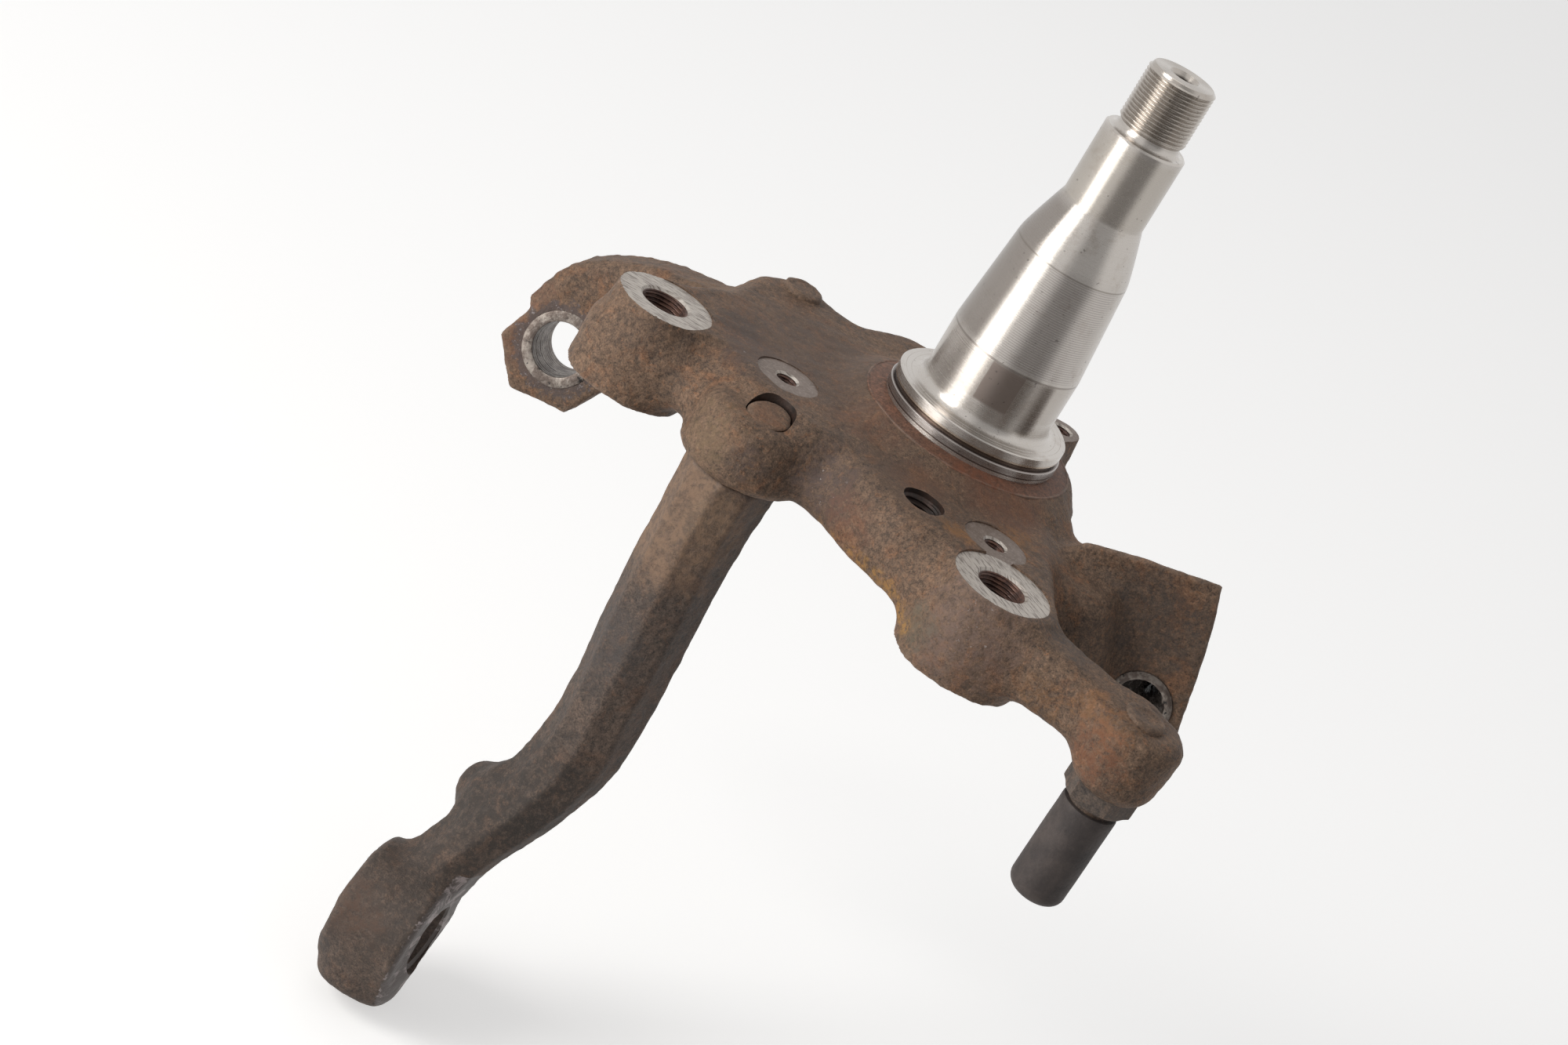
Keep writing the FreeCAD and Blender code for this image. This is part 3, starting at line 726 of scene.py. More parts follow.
def armSteel():
    material, tree, shader, where = newMaterial("armSteel")
    skin = useGroup(tree, "skin", Dark=(0.058, 0.045, 0.038), Middle=(0.105, 0.074, 0.057),
                    Rust=(0.15, 0.08, 0.048), RustAmount=0.35)
    colour = skin["Color"]
    for centre, radius, tint, amount, ragged in (
            ((-37, -100, -122), 20, (0.055, 0.05, 0.049), 0.6, 0.9),
            # painted shade: a broad dark patch over the arm's long lower run, which faces down and away from the
            # light
            ((-36, -114, -190), 46, (0.032, 0.026, 0.022), 0.85, 0.9),
            ((-38, -140, -235), 34, (0.045, 0.035, 0.029), 0.75, 0.9),
            ((-46, -150, -246), 15, (0.11, 0.062, 0.042), 0.6, 1.0),
            ((-60, -140, -262), 20, (0.045, 0.04, 0.038), 0.6, 0.9),
            ((-24, -99, -60), 13, (0.16, 0.12, 0.08), 0.6, 0.9),
            ((-38, -100, -66), 38, (0.23, 0.145, 0.093), 0.8, 0.8)):
        colour = stained(tree, colour, centre, radius, tint, amount, ragged)
    rub = useGroup(tree, "edge", Start=0.515, Full=0.58)[0]
    colour = glaze(tree, colour, rub, 0.4, (0.25, 0.21, 0.19))
    dress(tree, shader, colour, skin["Roughness"], skin["Height"], 0.0008, 0.1, 0.35)
    return material


def bushSteel():
    material, tree, shader, where = newMaterial("bushSteel")
    dirt = cloud(tree, where, 220.0, 5.0, 0.7)
    fine = cloud(tree, where, 1100.0, 3.0, 0.6)
    colour = blendColour(tree, between(tree, dirt, 0.4, 0.58), (0.23, 0.2, 0.175), (0.105, 0.082, 0.07))
    pits = between(tree, cloud(tree, where, 520.0, 2.0, 0.5), 0.64, 0.7)
    colour = blendColour(tree, pits, colour, (0.03, 0.028, 0.027))
    dress(tree, shader, colour, plus(tree, times(tree, fine, 0.3), 0.25), dirt, 0.0004, 0.75)
    return material


def screwSteel():
    material, tree, shader, where = newMaterial("screwSteel")
    skin = useGroup(tree, "skin", Dark=(0.045, 0.036, 0.031), Middle=(0.098, 0.072, 0.056),
                    Rust=(0.15, 0.08, 0.045), RustAmount=0.35)
    dress(tree, shader, skin["Color"], skin["Roughness"], skin["Height"], 0.0004, 0.15)
    return material


def capPlastic():
    material, tree, shader, where = newMaterial("capPlastic")
    dirt = cloud(tree, where, 90.0, 5.0, 0.7)
    fine = cloud(tree, where, 900.0, 3.0, 0.6)
    colour = blendColour(tree, between(tree, dirt, 0.35, 0.7), (0.046, 0.038, 0.036), (0.082, 0.066, 0.06))
    dress(tree, shader, colour, plus(tree, times(tree, fine, 0.25), 0.5), fine, 0.0002, 0.0, 0.3)
    return material


def redLedge():
    # the turned ledge round the collar: smooth, red brown, with a pale scribed rim
    material, tree, shader, where = newMaterial("redLedge")
    skin = useGroup(tree, "skin", Dark=(0.09, 0.05, 0.035), Middle=(0.165, 0.079, 0.049),
                    Rust=(0.21, 0.085, 0.045), RustAmount=0.4)
    dirt, colour = cloud(tree, where, 110.0, 5.0, 0.65), skin["Color"]
    away = awayFromZ(tree, where)
    lip = times(tree, between(tree, away, 0.0405, 0.0411), between(tree, dirt, 0.3, 0.6))
    colour = glaze(tree, colour, lip, 0.4, (0.3, 0.23, 0.18))
    colour = stained(tree, colour, (26, -31, -11), 17, (0.19, 0.072, 0.038), 0.75, 0.8)
    dress(tree, shader, colour, 0.6, skin["Height"], 0.0003, 0.1, 0.3)
    return material


finish = {
    "forged": forgedSteel(), "ledge": redLedge(),
    # black crust of grease and rubber in the block's bore
    "grime": mottled("oldGrime", (420.0, 5.0, 0.7), (0.52, 0.68), ((0.11, 0.095, 0.085), (0.4, 0.36, 0.33)),
                     0.25, 0.0008, 0.0),
    "milled": milledSteel(), "spot": spotFaced(),
    # walls of holes: dark and reddish
    "bored": mottled("boredWall", (260.0, 4.0, 0.65), (0.35, 0.65),
                     ((0.02, 0.014, 0.011), (0.05, 0.027, 0.019)),
                     0.55, 0.0003, 0.3),
    # the barrel's front face and mouth, rubbed to pale streaks
    "worn": mottled("wornFace", (130.0, 5.0, 0.7, 0.6), (0.5, 0.62), ((0.07, 0.054, 0.047), (0.3, 0.25, 0.24)),
                    0.5, 0.0003, 0.2, 800.0),
    # cut threads inside the tapped holes
    "thread": mottled("threadSteel", (300.0, 4.0, 0.65), (0.4, 0.62),
                      ((0.05, 0.022, 0.015), (0.13, 0.062, 0.042)),
                      0.42, 0.0002, 0.35),
    "turned": turnedSteel(), "arm": armSteel(), "bush": bushSteel(), "screw": screwSteel(), "cap": capPlastic()}
print("finishes ready", len(finish))


# The knuckle forging.

lean = math.radians(16.0)  # the pivots lean this far round Z from the X axis
alongV = np.array([math.cos(lean), math.sin(lean), 0.0])
acrossW = np.array([math.sin(lean), -math.cos(lean), 0.0])
knuckle = {
    "step": 1.25, "triangles": 190000, "skinIn": 0.05,
    "middle": (-8.0, -14.0), "plateTop": -16.4, "plateShelf": -27.0, "plateWide": -32.5, "plateLow": -38.0,
    "plateBottom": -43.5, "plateEdge": 5.0,
    # cone stumps: x, y, low z, low radius, top z, top radius, edge
    "hub": (0, 0, -24, 51, -11.4, 43, 3.0), "ledgeR": 42.0, "ledgeZ": -11.4,
    "bossFace": -17.0, "bossFaceR": 18.3, "bossFoot": -51.0, "bossFootR": 23.0, "bossBlend": 10.0,
    "bossLevel": -16.3,
    "armPad": (-36.5, -78, -46.5, 25, -22.5, 21, 6.0), "lug": (-38, 8.8, -17.0, 7.8),
    "topPad": (-90.4, 10.5, -30, 8.0, -14.2, 7.6, 0.7), "back": (-2, 2, -58, 32, -38, 46, 6.0),
    "gusset": (73, -12, -58, 28, -22, 14, 6.0), "webRoot": (47, 2, -52, 16, -19.5, 8.5, 4.0),
    "spotR": 12.3, "armHole": (-32.6, -83.4, 8.6)}
bossHoles = ("caliper_hole_upper", "caliper_hole_lower")
shieldHoles = ("shield_hole_a", "shield_hole_b", "shield_hole_c")
tapped = {  # thread depth and pitch of each tapped hole, and the heights that its thread fills
    name: {"deep": deep, "pitch": pitch, "top": top, "low": low, "finish": wall}
    for names, deep, pitch, top, low, wall in (
        (bossHoles, 0.75, 1.5, -17.9, -49.0, "thread"), (shieldHoles, 0.6, 1.25, -18.2, -34.6, "thread"),
        (("spare_arm_hole",), 1.0, 2.0, -18.5, -41.5, "bored"))
    for name in names}
blockForm = {
    "at": np.array([110.0, 5.0, 0.0]), "deep": 36.0, "fall": 19.0, "edge": 1.8,
    "face": [(-52, -20), (-48, -13.2), (-36, -8.6), (-22, -4.2), (1.0, 2.2), (6.0, -12.0), (12.3, -34.5),
             (16.8, -56.0), (17.5, -62.0), (8.0, -74.0), (-10.0, -76.0), (-40.0, -60.0), (-58, -46)]}
eyeForm = {
    "half": 14.0, "edge": 1.3, "bushOut": 0.6,
    "face": [(-23.5, -7.5), (-9.7, -23.6), (13.8, -20.6), (23.5, -3.0), (15.0, 19.0), (-10.0, 27.0)]}
strapForm = {"corner": 5.0, "line": [(-88, -10, -36, 15, 12), (-113, -8, -41.5, 15, 12.5),
                                     (-139, -6, -50, 15, 12),
                                     (-160, -5, -65, 14.5, 13.5), (-165.5, -6, -80, 13.5, 15)]}
stopForm = {"at": (136.5, -70.0), "corner": 7.0, "knobR": 17.5, "knobZ": -38.0, "faceZ": -48.5,
            "line": [(66, -76, -33, 15, 14), (92, -75, -32, 12, 12.5), (114, -73, -31.8, 11.5, 11),
                     (132, -70.5, -33.0, 13, 9.8)]}


bushes = {
    "blockBush": {"mount": "block_pivot_bore", "node": "block_bush", "outerR": 12.2, "cut": 45, "flip": True,
                  "grime": 0.9, "groove": 0.0, "bevel": 0.9},
    "eyeBush": {"mount": "clamp_eye_bore", "node": "eye_bush", "outerR": 15.2, "cut": 30, "flip": False,
                "grime": 0.0, "groove": 0.09, "bevel": 0.7}}


def plateOutline():
    # the plate at its widest level and how far each point draws in at the top, round the bosses and the pad
    left, lineY = mountSpot("caliper_hole_upper")[:2]
    right = mountSpot("caliper_hole_lower")[0]
    rearX, rearY = mountSpot("shield_hole_c")[:2]
    padX, padY = knuckle["armPad"][:2]
    return [(left - 20, lineY - 1, 20), (left - 19, lineY + 23, 12), (-104, -28, 6), (-107, -10, 5),
            (-110, 4, 5), (-107, 16, 5), (-100, 25, 5), (-88, 25, 5), (-76, 27, 5), (-70, 38, 5), (-61, 53, 5),
            (-42, 64, 5), (rearX - 21.7, rearY - 1.9, 5), (rearX - 1.7, rearY + 4.0, 4),
            (rearX + 8.3, rearY - 1.9, 5), (19, 55, 5), (28, 40, 5), (41, 20, 5), (52, 0, 6), (66, -26, 6),
            (right + 14, lineY + 25, 7), (right + 22, lineY + 1, 12), (right + 10, lineY - 17, 18),
            (right - 12, lineY - 15, 16), (35, -88.5, 8), (15, -85, 6), (-6, -80, 7),
            (padX + 12.5, padY - 13, 12), (padX - 9.5, padY - 16, 16), (padX - 27.5, padY - 10, 15),
            (left + 14, lineY - 14, 22), (left - 8, lineY - 17, 26)]


def plateShape(corners):
    # distance to the outline on XY, mixed between its widest and its top line by height
    wide = closedCurve([c[:2] for c in corners], 6)
    inset = closedCurve([(c[2], 0.0) for c in corners], 6)[:, 0]
    inward = np.array(knuckle["middle"]) - wide
    top = wide + inward / np.linalg.norm(inward, axis=1, keepdims=True) * inset[:, None]
    levels = [knuckle[k] for k in ("plateBottom", "plateLow", "plateWide", "plateShelf", "plateTop")]

    def shape(x, y, z):
        x2, y2 = x[:, :, 0] + 0 * y[:, :, 0], y[:, :, 0] + 0 * x[:, :, 0]
        dWide = polygonDistance(x2, y2, [tuple(p) for p in wide])[:, :, None]
        dTop = polygonDistance(x2, y2, [tuple(p) for p in top])[:, :, None]
        toTop = np.interp(z, levels, (0.0, 0.0, 0.0, 0.28, 1.0))
        drawn = np.interp(z, levels, (3.0, 1.0, 0.3, 0.0, 0.0))
        wall = dWide * (1 - toTop) + dTop * toTop + drawn
        edge = np.where(z > knuckle["plateWide"], knuckle["plateEdge"], 0.5 * knuckle["plateEdge"])
        return roundOut(wall, np.maximum(z - knuckle["plateTop"], knuckle["plateBottom"] - z), edge)
    return shape


def blockShape(x, y, z):
    # the face outline read in (along, height), slipping down toward the rear
    rx, ry = x - blockForm["at"][0], y - blockForm["at"][1]
    back = -(rx * acrossW[0] + ry * acrossW[1])
    along = rx * alongV[0] + ry * alongV[1]
    share = np.clip(back / blockForm["deep"], 0.0, 1.0)
    high = z + blockForm["fall"] * share * np.maximum(0.0, (z + 60.0) / 62.0)
    outline = polygonDistance(along + 0 * z, high + 0 * along, blockForm["face"]) + 3.0 * share
    return roundOut(outline, np.maximum(-back, back - blockForm["deep"]), blockForm["edge"])


def eyeShape(x, y, z):
    # a six-sided prism along the eye's axis
    axis, first, second = sideFrame(mountAxis("clamp_eye_bore"))
    centre = mountSpot("clamp_eye_bore") - axis * (eyeForm["bushOut"] / 2)
    r = (x - centre[0], y - centre[1], z - centre[2])
    a, p, q = (r[0] * v[0] + r[1] * v[1] + r[2] * v[2] for v in (axis, first, second))
    return roundOut(polygonDistance(p, q, eyeForm["face"]), np.abs(a) - eyeForm["half"], eyeForm["edge"])


def knuckleField():
    everywhere = ((-192, -120, -122), (162, 92, 8))
    f = Field(*everywhere, knuckle["step"])
    f.join(*everywhere, plateShape(plateOutline()), 1.0)
    for name, low, high, blend in (
            ("hub", (-66, -66, -70), (66, 66, 0), 7.0), ("back", (-60, -60, -80), (60, 60, -20), 8.0),
            ("gusset", (40, -60, -75), (120, 30, -5), 14.0), ("webRoot", (10, -40, -70), (95, 50, -5), 8.0)):
        f.join(low, high, coneShape(*knuckle[name]), blend)
    lug = mountSpot("shield_hole_c")
    low, lowR, high, topR = knuckle["lug"]
    f.join(lug - (20, 20, 30), lug + (20, 20, 16),
           coneShape(lug[0], lug[1], low, lowR, high + 2, topR, 2.0), 6.0)
    f.join((-75, -120, -62), (5, -40, -4), coneShape(*knuckle["armPad"]), 2.0)
    f.join((-192, -40, -115), (-60, 30, 0),
           sweptShape(strapForm["line"], mountAxis("clamp_eye_bore"), strapForm["corner"]), 8.0)
    f.join((-192, -40, -122), (-120, 30, -50), eyeShape, 4.0)
    f.join((38, -30, -90), (162, 70, 10), blockShape, 8.0)
    f.join((40, -110, -65), (162, -40, -6),
           sweptShape(stopForm["line"], np.array([0, 1.0, 0]), stopForm["corner"]), 9.0)
    x, y = stopForm["at"]
    r, z = stopForm["knobR"], stopForm["knobZ"]
    f.join((x - 28, y - 28, -60), (x + 28, y + 28, -8),
           coneShape(x, y, stopForm["faceZ"] - 3, r - 2.5, z + r - 3, r, 7.0), 6.0)
    for name in bossHoles:
        p = mountSpot(name)
        f.join(p - (45, 45, 45), p + (45, 45, 40),
               coneShape(p[0], p[1], knuckle["bossFoot"], knuckle["bossFootR"], knuckle["bossFace"] + 2.5,
                         knuckle["bossFaceR"] - 0.5, 0.6), knuckle["bossBlend"])
        f.cut(p - (36, 36, 20), p + (36, 36, 30), lambda x, y, z: knuckle["bossLevel"] - z + 0 * x + 0 * y, 0.6)
    f.join((-110, -10, -34), (-70, 30, -5), coneShape(*knuckle["topPad"]), 1.2)
    return f


def solidPiece(name, points, faces):
    # a closed mesh as an object of its own, for cutting
    mesh = bpy.data.meshes.new(name)
    mesh.from_pydata(points * mm, [], faces)
    mesh.update()
    piece = bpy.data.objects.new(name, mesh)
    bpy.context.scene.collection.objects.link(piece)
    return piece


def cutterPiece(shapes):
    # closed shapes joined into one for a single cut
    verts, faces = [], []
    for points, own in shapes:
        base = sum(len(v) for v in verts)
        verts.append(points)
        faces += [[i + base for i in face] for face in own]
    return solidPiece("cutter", np.vstack(verts), faces)


def carved(name, points, quads, triangles, cuts):
    # thins a dense skin to a number of triangles, then takes each group of cuts away from it
    raw = solidPiece(name, points, quads.tolist())
    raw.modifiers.new("thin", "DECIMATE").ratio = min(1.0, triangles / (2.0 * len(quads)))
    cutters = [cutterPiece(shapes) for shapes in cuts]
    for cutter in cutters:
        cut = raw.modifiers.new("cut", "BOOLEAN")
        cut.operation, cut.solver, cut.object = "DIFFERENCE", "EXACT", cutter
    shaped = bpy.data.meshes.new_from_object(raw.evaluated_get(bpy.context.evaluated_depsgraph_get()))
    for helper in [raw] + cutters:
        bpy.data.objects.remove(helper)
    return shaped


def readFaces(mesh, what):  # "center" or "normal" of every face
    values = np.empty(len(mesh.polygons) * 3)
    mesh.polygons.foreach_get(what, values)
    return values.reshape(-1, 3)


def drilled(spot, axis, radius, low, high, columns=64):
    points, faces = spun([(0, low), (radius, low), (radius, high), (0, high)], columns)
    return placed(points, spot, axis), faces


def faced(spot, topZ, faceR, holeR, sink, depth, lift, columns=96):
    # a flat ring at topZ with a hole that opens in a small chamfer, cut from above
    profile = [(0, topZ - depth), (holeR, topZ - depth), (holeR, topZ - sink), (holeR + sink, topZ),
               (faceR, topZ), (faceR + 0.15 * lift, topZ + lift), (0, topZ + lift)]
    points, faces = spun(profile, columns)
    return placed(points, (spot[0], spot[1], 0), (0, 0, 1)), faces


def cutRadius(name):
    return mountRadius(name) + tapped[name]["deep"]


def knuckleCuts():
    shapes = [faced(mountSpot(name), knuckle["bossFace"], knuckle["bossFaceR"], cutRadius(name), 0.9, 50, 9)
              for name in bossHoles]
    spare, (x, y, r) = mountSpot("spare_arm_hole"), knuckle["armHole"]
    return shapes + [drilled((spare[0], spare[1], 0), (0, 0, 1), cutRadius("spare_arm_hole"), -80, 0),
                     drilled((x, y, 0), (0, 0, 1), r, -80, 0),
                     drilled((0, 0, 0), (0, 0, 1), knuckle["ledgeR"], knuckle["ledgeZ"], 6, 128)]


def pivotCuts():
    shapes = [faced(mountSpot(name), knuckle["bossFace"], knuckle["spotR"], cutRadius(name), 0.8, 18, 6, 72)
              for name in shieldHoles]
    return shapes + [drilled(mountSpot(b["mount"]), mountAxis(b["mount"]), b["outerR"], -b["cut"], b["cut"])
                     for b in bushes.values()]


def buildKnuckle():
    points, quads, normal = knuckleField().relaxed(2)
    print("knuckle skin", len(points), "points")
    worn = 0.34 * lumps(points, 11.0) + 0.22 * lumps(points, 4.5) + 0.2 * lumps(points + 50, 2.2)
    box = np.array(cadBox) / mm
    points = np.clip(points + normal * worn[:, None], box[0] + knuckle["skinIn"], box[1] - knuckle["skinIn"])
    shaped = carved("knuckleRaw", points, quads, knuckle["triangles"], [knuckleCuts(), pivotCuts()])
    centre, facing = readFaces(shaped, "center") / mm, readFaces(shaped, "normal")
    kind = np.zeros(len(centre), int)  # 0 skin, 1 milled ring, 2 spot face, 3 hole wall
    up = (facing[:, 2] > 0.98) & (np.abs(centre[:, 2] - knuckle["bossFace"]) < 0.02)
    for name in bossHoles:
        away = np.hypot(*(centre[:, :2] - mountSpot(name)[:2]).T)
        kind[up & (away < knuckle["bossFaceR"] + 0.1)] = 1
        kind[(away < mountRadius(name) + 1.9) & (kind != 1)] = 3
        kind[(away < mountRadius(name) + 1.9) & (facing[:, 2] > 0.5)] = 1
    for name in shieldHoles:
        away = np.hypot(*(centre[:, :2] - mountSpot(name)[:2]).T)
        kind[up & (away < knuckle["spotR"] + 0.1) & (kind != 1)] = 2
        kind[(away < mountRadius(name) + 2.2) & (kind == 0)] = 3
        kind[(away < mountRadius(name) + 2.2) & (facing[:, 2] > 0.4) & (kind == 3)] = 1
    spare = (*mountSpot("spare_arm_hole")[:2], cutRadius("spare_arm_hole"))
    for x, y, r in (spare, knuckle["armHole"]):
        away = np.hypot(centre[:, 0] - x, centre[:, 1] - y)
        kind[(away < r + 0.05) & (np.abs(facing[:, 2]) < 0.3)] = 3
    shaped.polygons.foreach_set("material_index", kind)
    return keepObject("knuckleForging", shaped, [finish[k] for k in ("forged", "milled", "spot", "bored")],
                      "knuckle_forging", 38.0)


buildKnuckle()


def thread(pitch, deep, low, top, sign=1.0):
    # a helix on a wall: the depth falls and rises once per pitch of height less one turn of angle
    def ripple(a, h, r):
        share = np.mod(h / pitch - a / (2 * math.pi), 1.0)
        cut = np.clip((np.abs(2 * share - 1) - 0.1) / 0.8, 0.0, 1.0)
        fade = smoothStep(low, low + 0.6 * pitch, h) * (1 - smoothStep(top - 0.6 * pitch, top, h))
        return -sign * deep * cut * fade
    return ripple


def tappedWall(name):
    # the threaded lining of a tapped hole: its crests reach the minor radius, its roots the cut hole
    t, minor = tapped[name], mountRadius(name)
    rows = stretchRuns([(minor, t["low"]), (minor, t["top"])], t["pitch"] / 8)
    outer = minor + t["deep"] + 0.5
    profile = np.vstack([rows, [(outer, t["top"]), (outer, t["low"])]])
    helix = thread(t["pitch"], t["deep"], t["low"] - t["pitch"], t["top"], -1.0)

    def ripple(a, h, r):
        over = smoothStep(t["top"] - 0.5 * t["pitch"], t["top"], h) * t["deep"]
        return np.where(r < minor + 0.01, np.maximum(helix(a, h, r), over), 0.0)
    points, faces = spun(profile, 72 if minor > 5 else 48, closed=True, ripple=ripple)
    spot = mountSpot(name)
    keepMesh("thread_" + name.replace("_hole", ""), placed(points, (spot[0], spot[1], 0), (0, 0, 1)), faces,
             [finish[t["finish"]]], "knuckle_forging", 60.0)


for tappedName in tapped:
    tappedWall(tappedName)


# The turned spindle, one with the forging.

spindle = {
    "innerR": mountRadius("inner_bearing_journal"), "outerR": mountRadius("outer_bearing_journal"),
    "threadR": mountRadius("spindle_thread"), "pitch": 1.5, "threadDeep": 0.9,
    "tip": 140.2, "chamfer": 1.2, "reliefR": 12.0, "flareR": 2.4, "threadLow": 118.5, "outerEnd": 114.3,
    "outerStart": 85.0,
    "flare": [(15.875, 85.0), (16.9, 82.0), (19.4, 74.0), (21.4, 67.0), (22.0, 64.0)], "innerTop": 25.6,
    "seat": 3.5, "discR": 34.2, "discLow": -4.2, "grooveR": 33.1, "grooveLow": -5.6, "collarR": 34.9,
    "collarLow": -10.4, "ledgeR": 42.0, "ledgeLow": -11.35, "rootLow": -26.0, "columns": 176}


def buildSpindle():
    s = spindle
    a = np.linspace(0, math.pi / 2, 8)[:, None]
    flare = openCurve(s["flare"], 6)
    flare[:, 0] = np.maximum(flare[:, 0], s["outerR"])
    seat = np.hstack([s["innerR"] + s["seat"] * (1 - np.cos(a)), s["seat"] * (1 - np.sin(a))])
    neck = np.hstack([s["reliefR"] + s["flareR"] * (1 - np.cos(a)),
                      s["outerEnd"] + s["flareR"] * (1 - np.sin(a))])
    tip, low = s["tip"], s["threadLow"]
    profile = np.vstack([
        [(0, tip - 9.0), (2.6, tip - 4.6), (5.2, tip - 0.5), (5.8, tip), (8.0, tip),
         (s["threadR"] - s["chamfer"] - 0.3, tip),
         (s["threadR"] - s["chamfer"], tip - 0.15)],
        stretchRuns([(s["threadR"], tip - s["chamfer"]), (s["threadR"], low)], s["pitch"] / 10),
        [(s["reliefR"], low - 1.2)], neck,
        [(s["outerR"] - 0.8, s["outerEnd"]), (s["outerR"] - 0.7, s["outerEnd"] - 0.05),
         (s["outerR"] - 0.05, s["outerEnd"] - 0.7), (s["outerR"], s["outerEnd"] - 0.8)],
        stretchRuns([(s["outerR"], s["outerEnd"] - 2.0), (s["outerR"], s["outerStart"] + 1.0)], 3.0),
        flare, stretchRuns([(s["flare"][-1][0] + 0.05, 63.6), (s["innerR"] - 0.06, s["innerTop"] + 0.2)], 2.5),
        stretchRuns([(s["innerR"], s["innerTop"] - 0.2), (s["innerR"], s["seat"] + 0.3)], 2.5), seat,
        [(29.7, 0), (29.85, -0.12), (30.0, 0), (31.9, 0), (32.0, -0.1), (32.1, 0), (s["discR"] - 0.45, 0),
         (s["discR"], -0.45), (s["discR"], s["discLow"] + 1.3), (s["discR"] - 0.15, s["discLow"] + 1.2),
         (s["discR"] - 0.15, s["discLow"] + 0.2), (s["discR"] - 0.35, s["discLow"]),
         (s["grooveR"], s["discLow"]),
         (s["grooveR"], s["grooveLow"]), (s["collarR"] - 0.5, s["grooveLow"]),
         (s["collarR"], s["grooveLow"] - 0.5),
         (s["collarR"], s["collarLow"] + 0.6), (s["collarR"] - 0.2, s["collarLow"] + 0.5),
         (s["collarR"] - 0.2, s["collarLow"] + 0.1), (s["collarR"] + 0.9, s["collarLow"]),
         (38.5, -10.9), (s["ledgeR"] - 1.1, s["ledgeLow"] - 0.05), (s["ledgeR"] - 0.7, s["ledgeLow"] + 0.15),
         (s["ledgeR"] - 0.2, s["ledgeLow"] + 0.1), (s["ledgeR"], s["ledgeLow"] - 0.2),
         (s["ledgeR"], s["rootLow"]), (0, s["rootLow"])]])
    helix = thread(s["pitch"], s["threadDeep"], low - 0.3, tip - 0.2)

    def ripple(turn, h, r):
        return np.where((h > low - 0.01) & (h < tip - s["chamfer"] + 0.01), helix(turn, h, r), 0.0)
    points, faces = spun(profile, s["columns"], ripple=ripple)
    piece = keepMesh("wheelSpindle", points, faces, [finish["turned"], finish["ledge"]], "knuckle_forging",
                     21.0)
    centre = readFaces(piece.data, "center") / mm
    ledge = (np.hypot(*centre[:, :2].T) > s["collarR"] + 0.2) & (centre[:, 2] < s["collarLow"] + 0.1)
    piece.data.polygons.foreach_set("material_index", ledge.astype(int))


buildSpindle()


# Bushes, stud, stop screw and cap.

def buildBush(name):
    # a tube round its bore: the inner wall carries turned grooves or lumps of old grease
    b = bushes[name]
    inner, half = mountRadius(b["mount"]), mounts[b["mount"]]["dims"]["length_mm"] / 2
    k, outer = b["bevel"], b["outerR"] - 0.02
    wall = stretchRuns([(inner, -half + k), (inner, half - k)], 0.5)
    profile = np.vstack([wall, [(inner + 0.25 * k, half - 0.2 * k), (inner + k, half), (outer - k, half),
                                (outer - 0.2 * k, half - 0.25 * k), (outer, half - k), (outer, k - half),
                                (outer - k, -half), (inner + k, -half)]])

    def ripple(a, h, r):
        p = np.stack([10 * np.cos(a), 10 * np.sin(a), h], -1).reshape(-1, 3)
        crust = (np.maximum(0.0, lumps(p, 4.0) + 0.5 * lumps(p, 1.7))).reshape(a.shape)
        rings = np.sin(h * 2 * math.pi / 2.3) + 0.5 * np.sin(h * 2 * math.pi / 1.31 + 1.0)
        within = (np.abs(h) < half - k - 0.3) & (r < inner + 0.01)
        plug = 6.2 * smoothStep(half - 5.0, half - 19.0, h) if b["grime"] else 0.0  # thick old grease further in
        return np.where(within, -b["grime"] * crust * (1 + 0.25 * plug) - plug + b["groove"] * rings, 0.0)
    points, faces = spun(profile, 96, closed=True, ripple=ripple)
    axis = mountAxis(b["mount"]) * (-1 if b["flip"] else 1)
    piece = keepMesh(name, placed(points, mountSpot(b["mount"]), axis), faces,
                     [finish["bush"], finish["grime"]],
                     b["node"], 30.0)
    if b["grime"]:
        r = readFaces(piece.data, "center") / mm - mountSpot(b["mount"])
        along = r @ axis
        away = np.linalg.norm(r - along[:, None] * axis, axis=1)
        crusted = (away < inner + 0.02) & (along < half - 1.5)
        piece.data.polygons.foreach_set("material_index", crusted.astype(int))


for bushName in bushes:
    buildBush(bushName)

smallForms = {
    "stud": {"x": -32.4, "y": -83.9, "r": 8.15, "low": -76.5, "top": -20.4, "slant": 0.27, "pitch": 1.5},
    "screw": {"flats": 23.0, "head": 9.0, "shankR": 7.0, "shank": 24.0, "neckR": 8.6, "neck": 2.4, "turn": 12.0},
    "cap": {"top": -59.9, "r": 10.4, "long": 39.5, "round": 4.5, "hollowR": 8.7, "hollow": 17.5}}
pads = {"platePad": (-90.4, 10.5, -13.9, 7.9), "knobPad": (136.0, -72.4, -20.8, 7.6)}  # x, y, top, radius


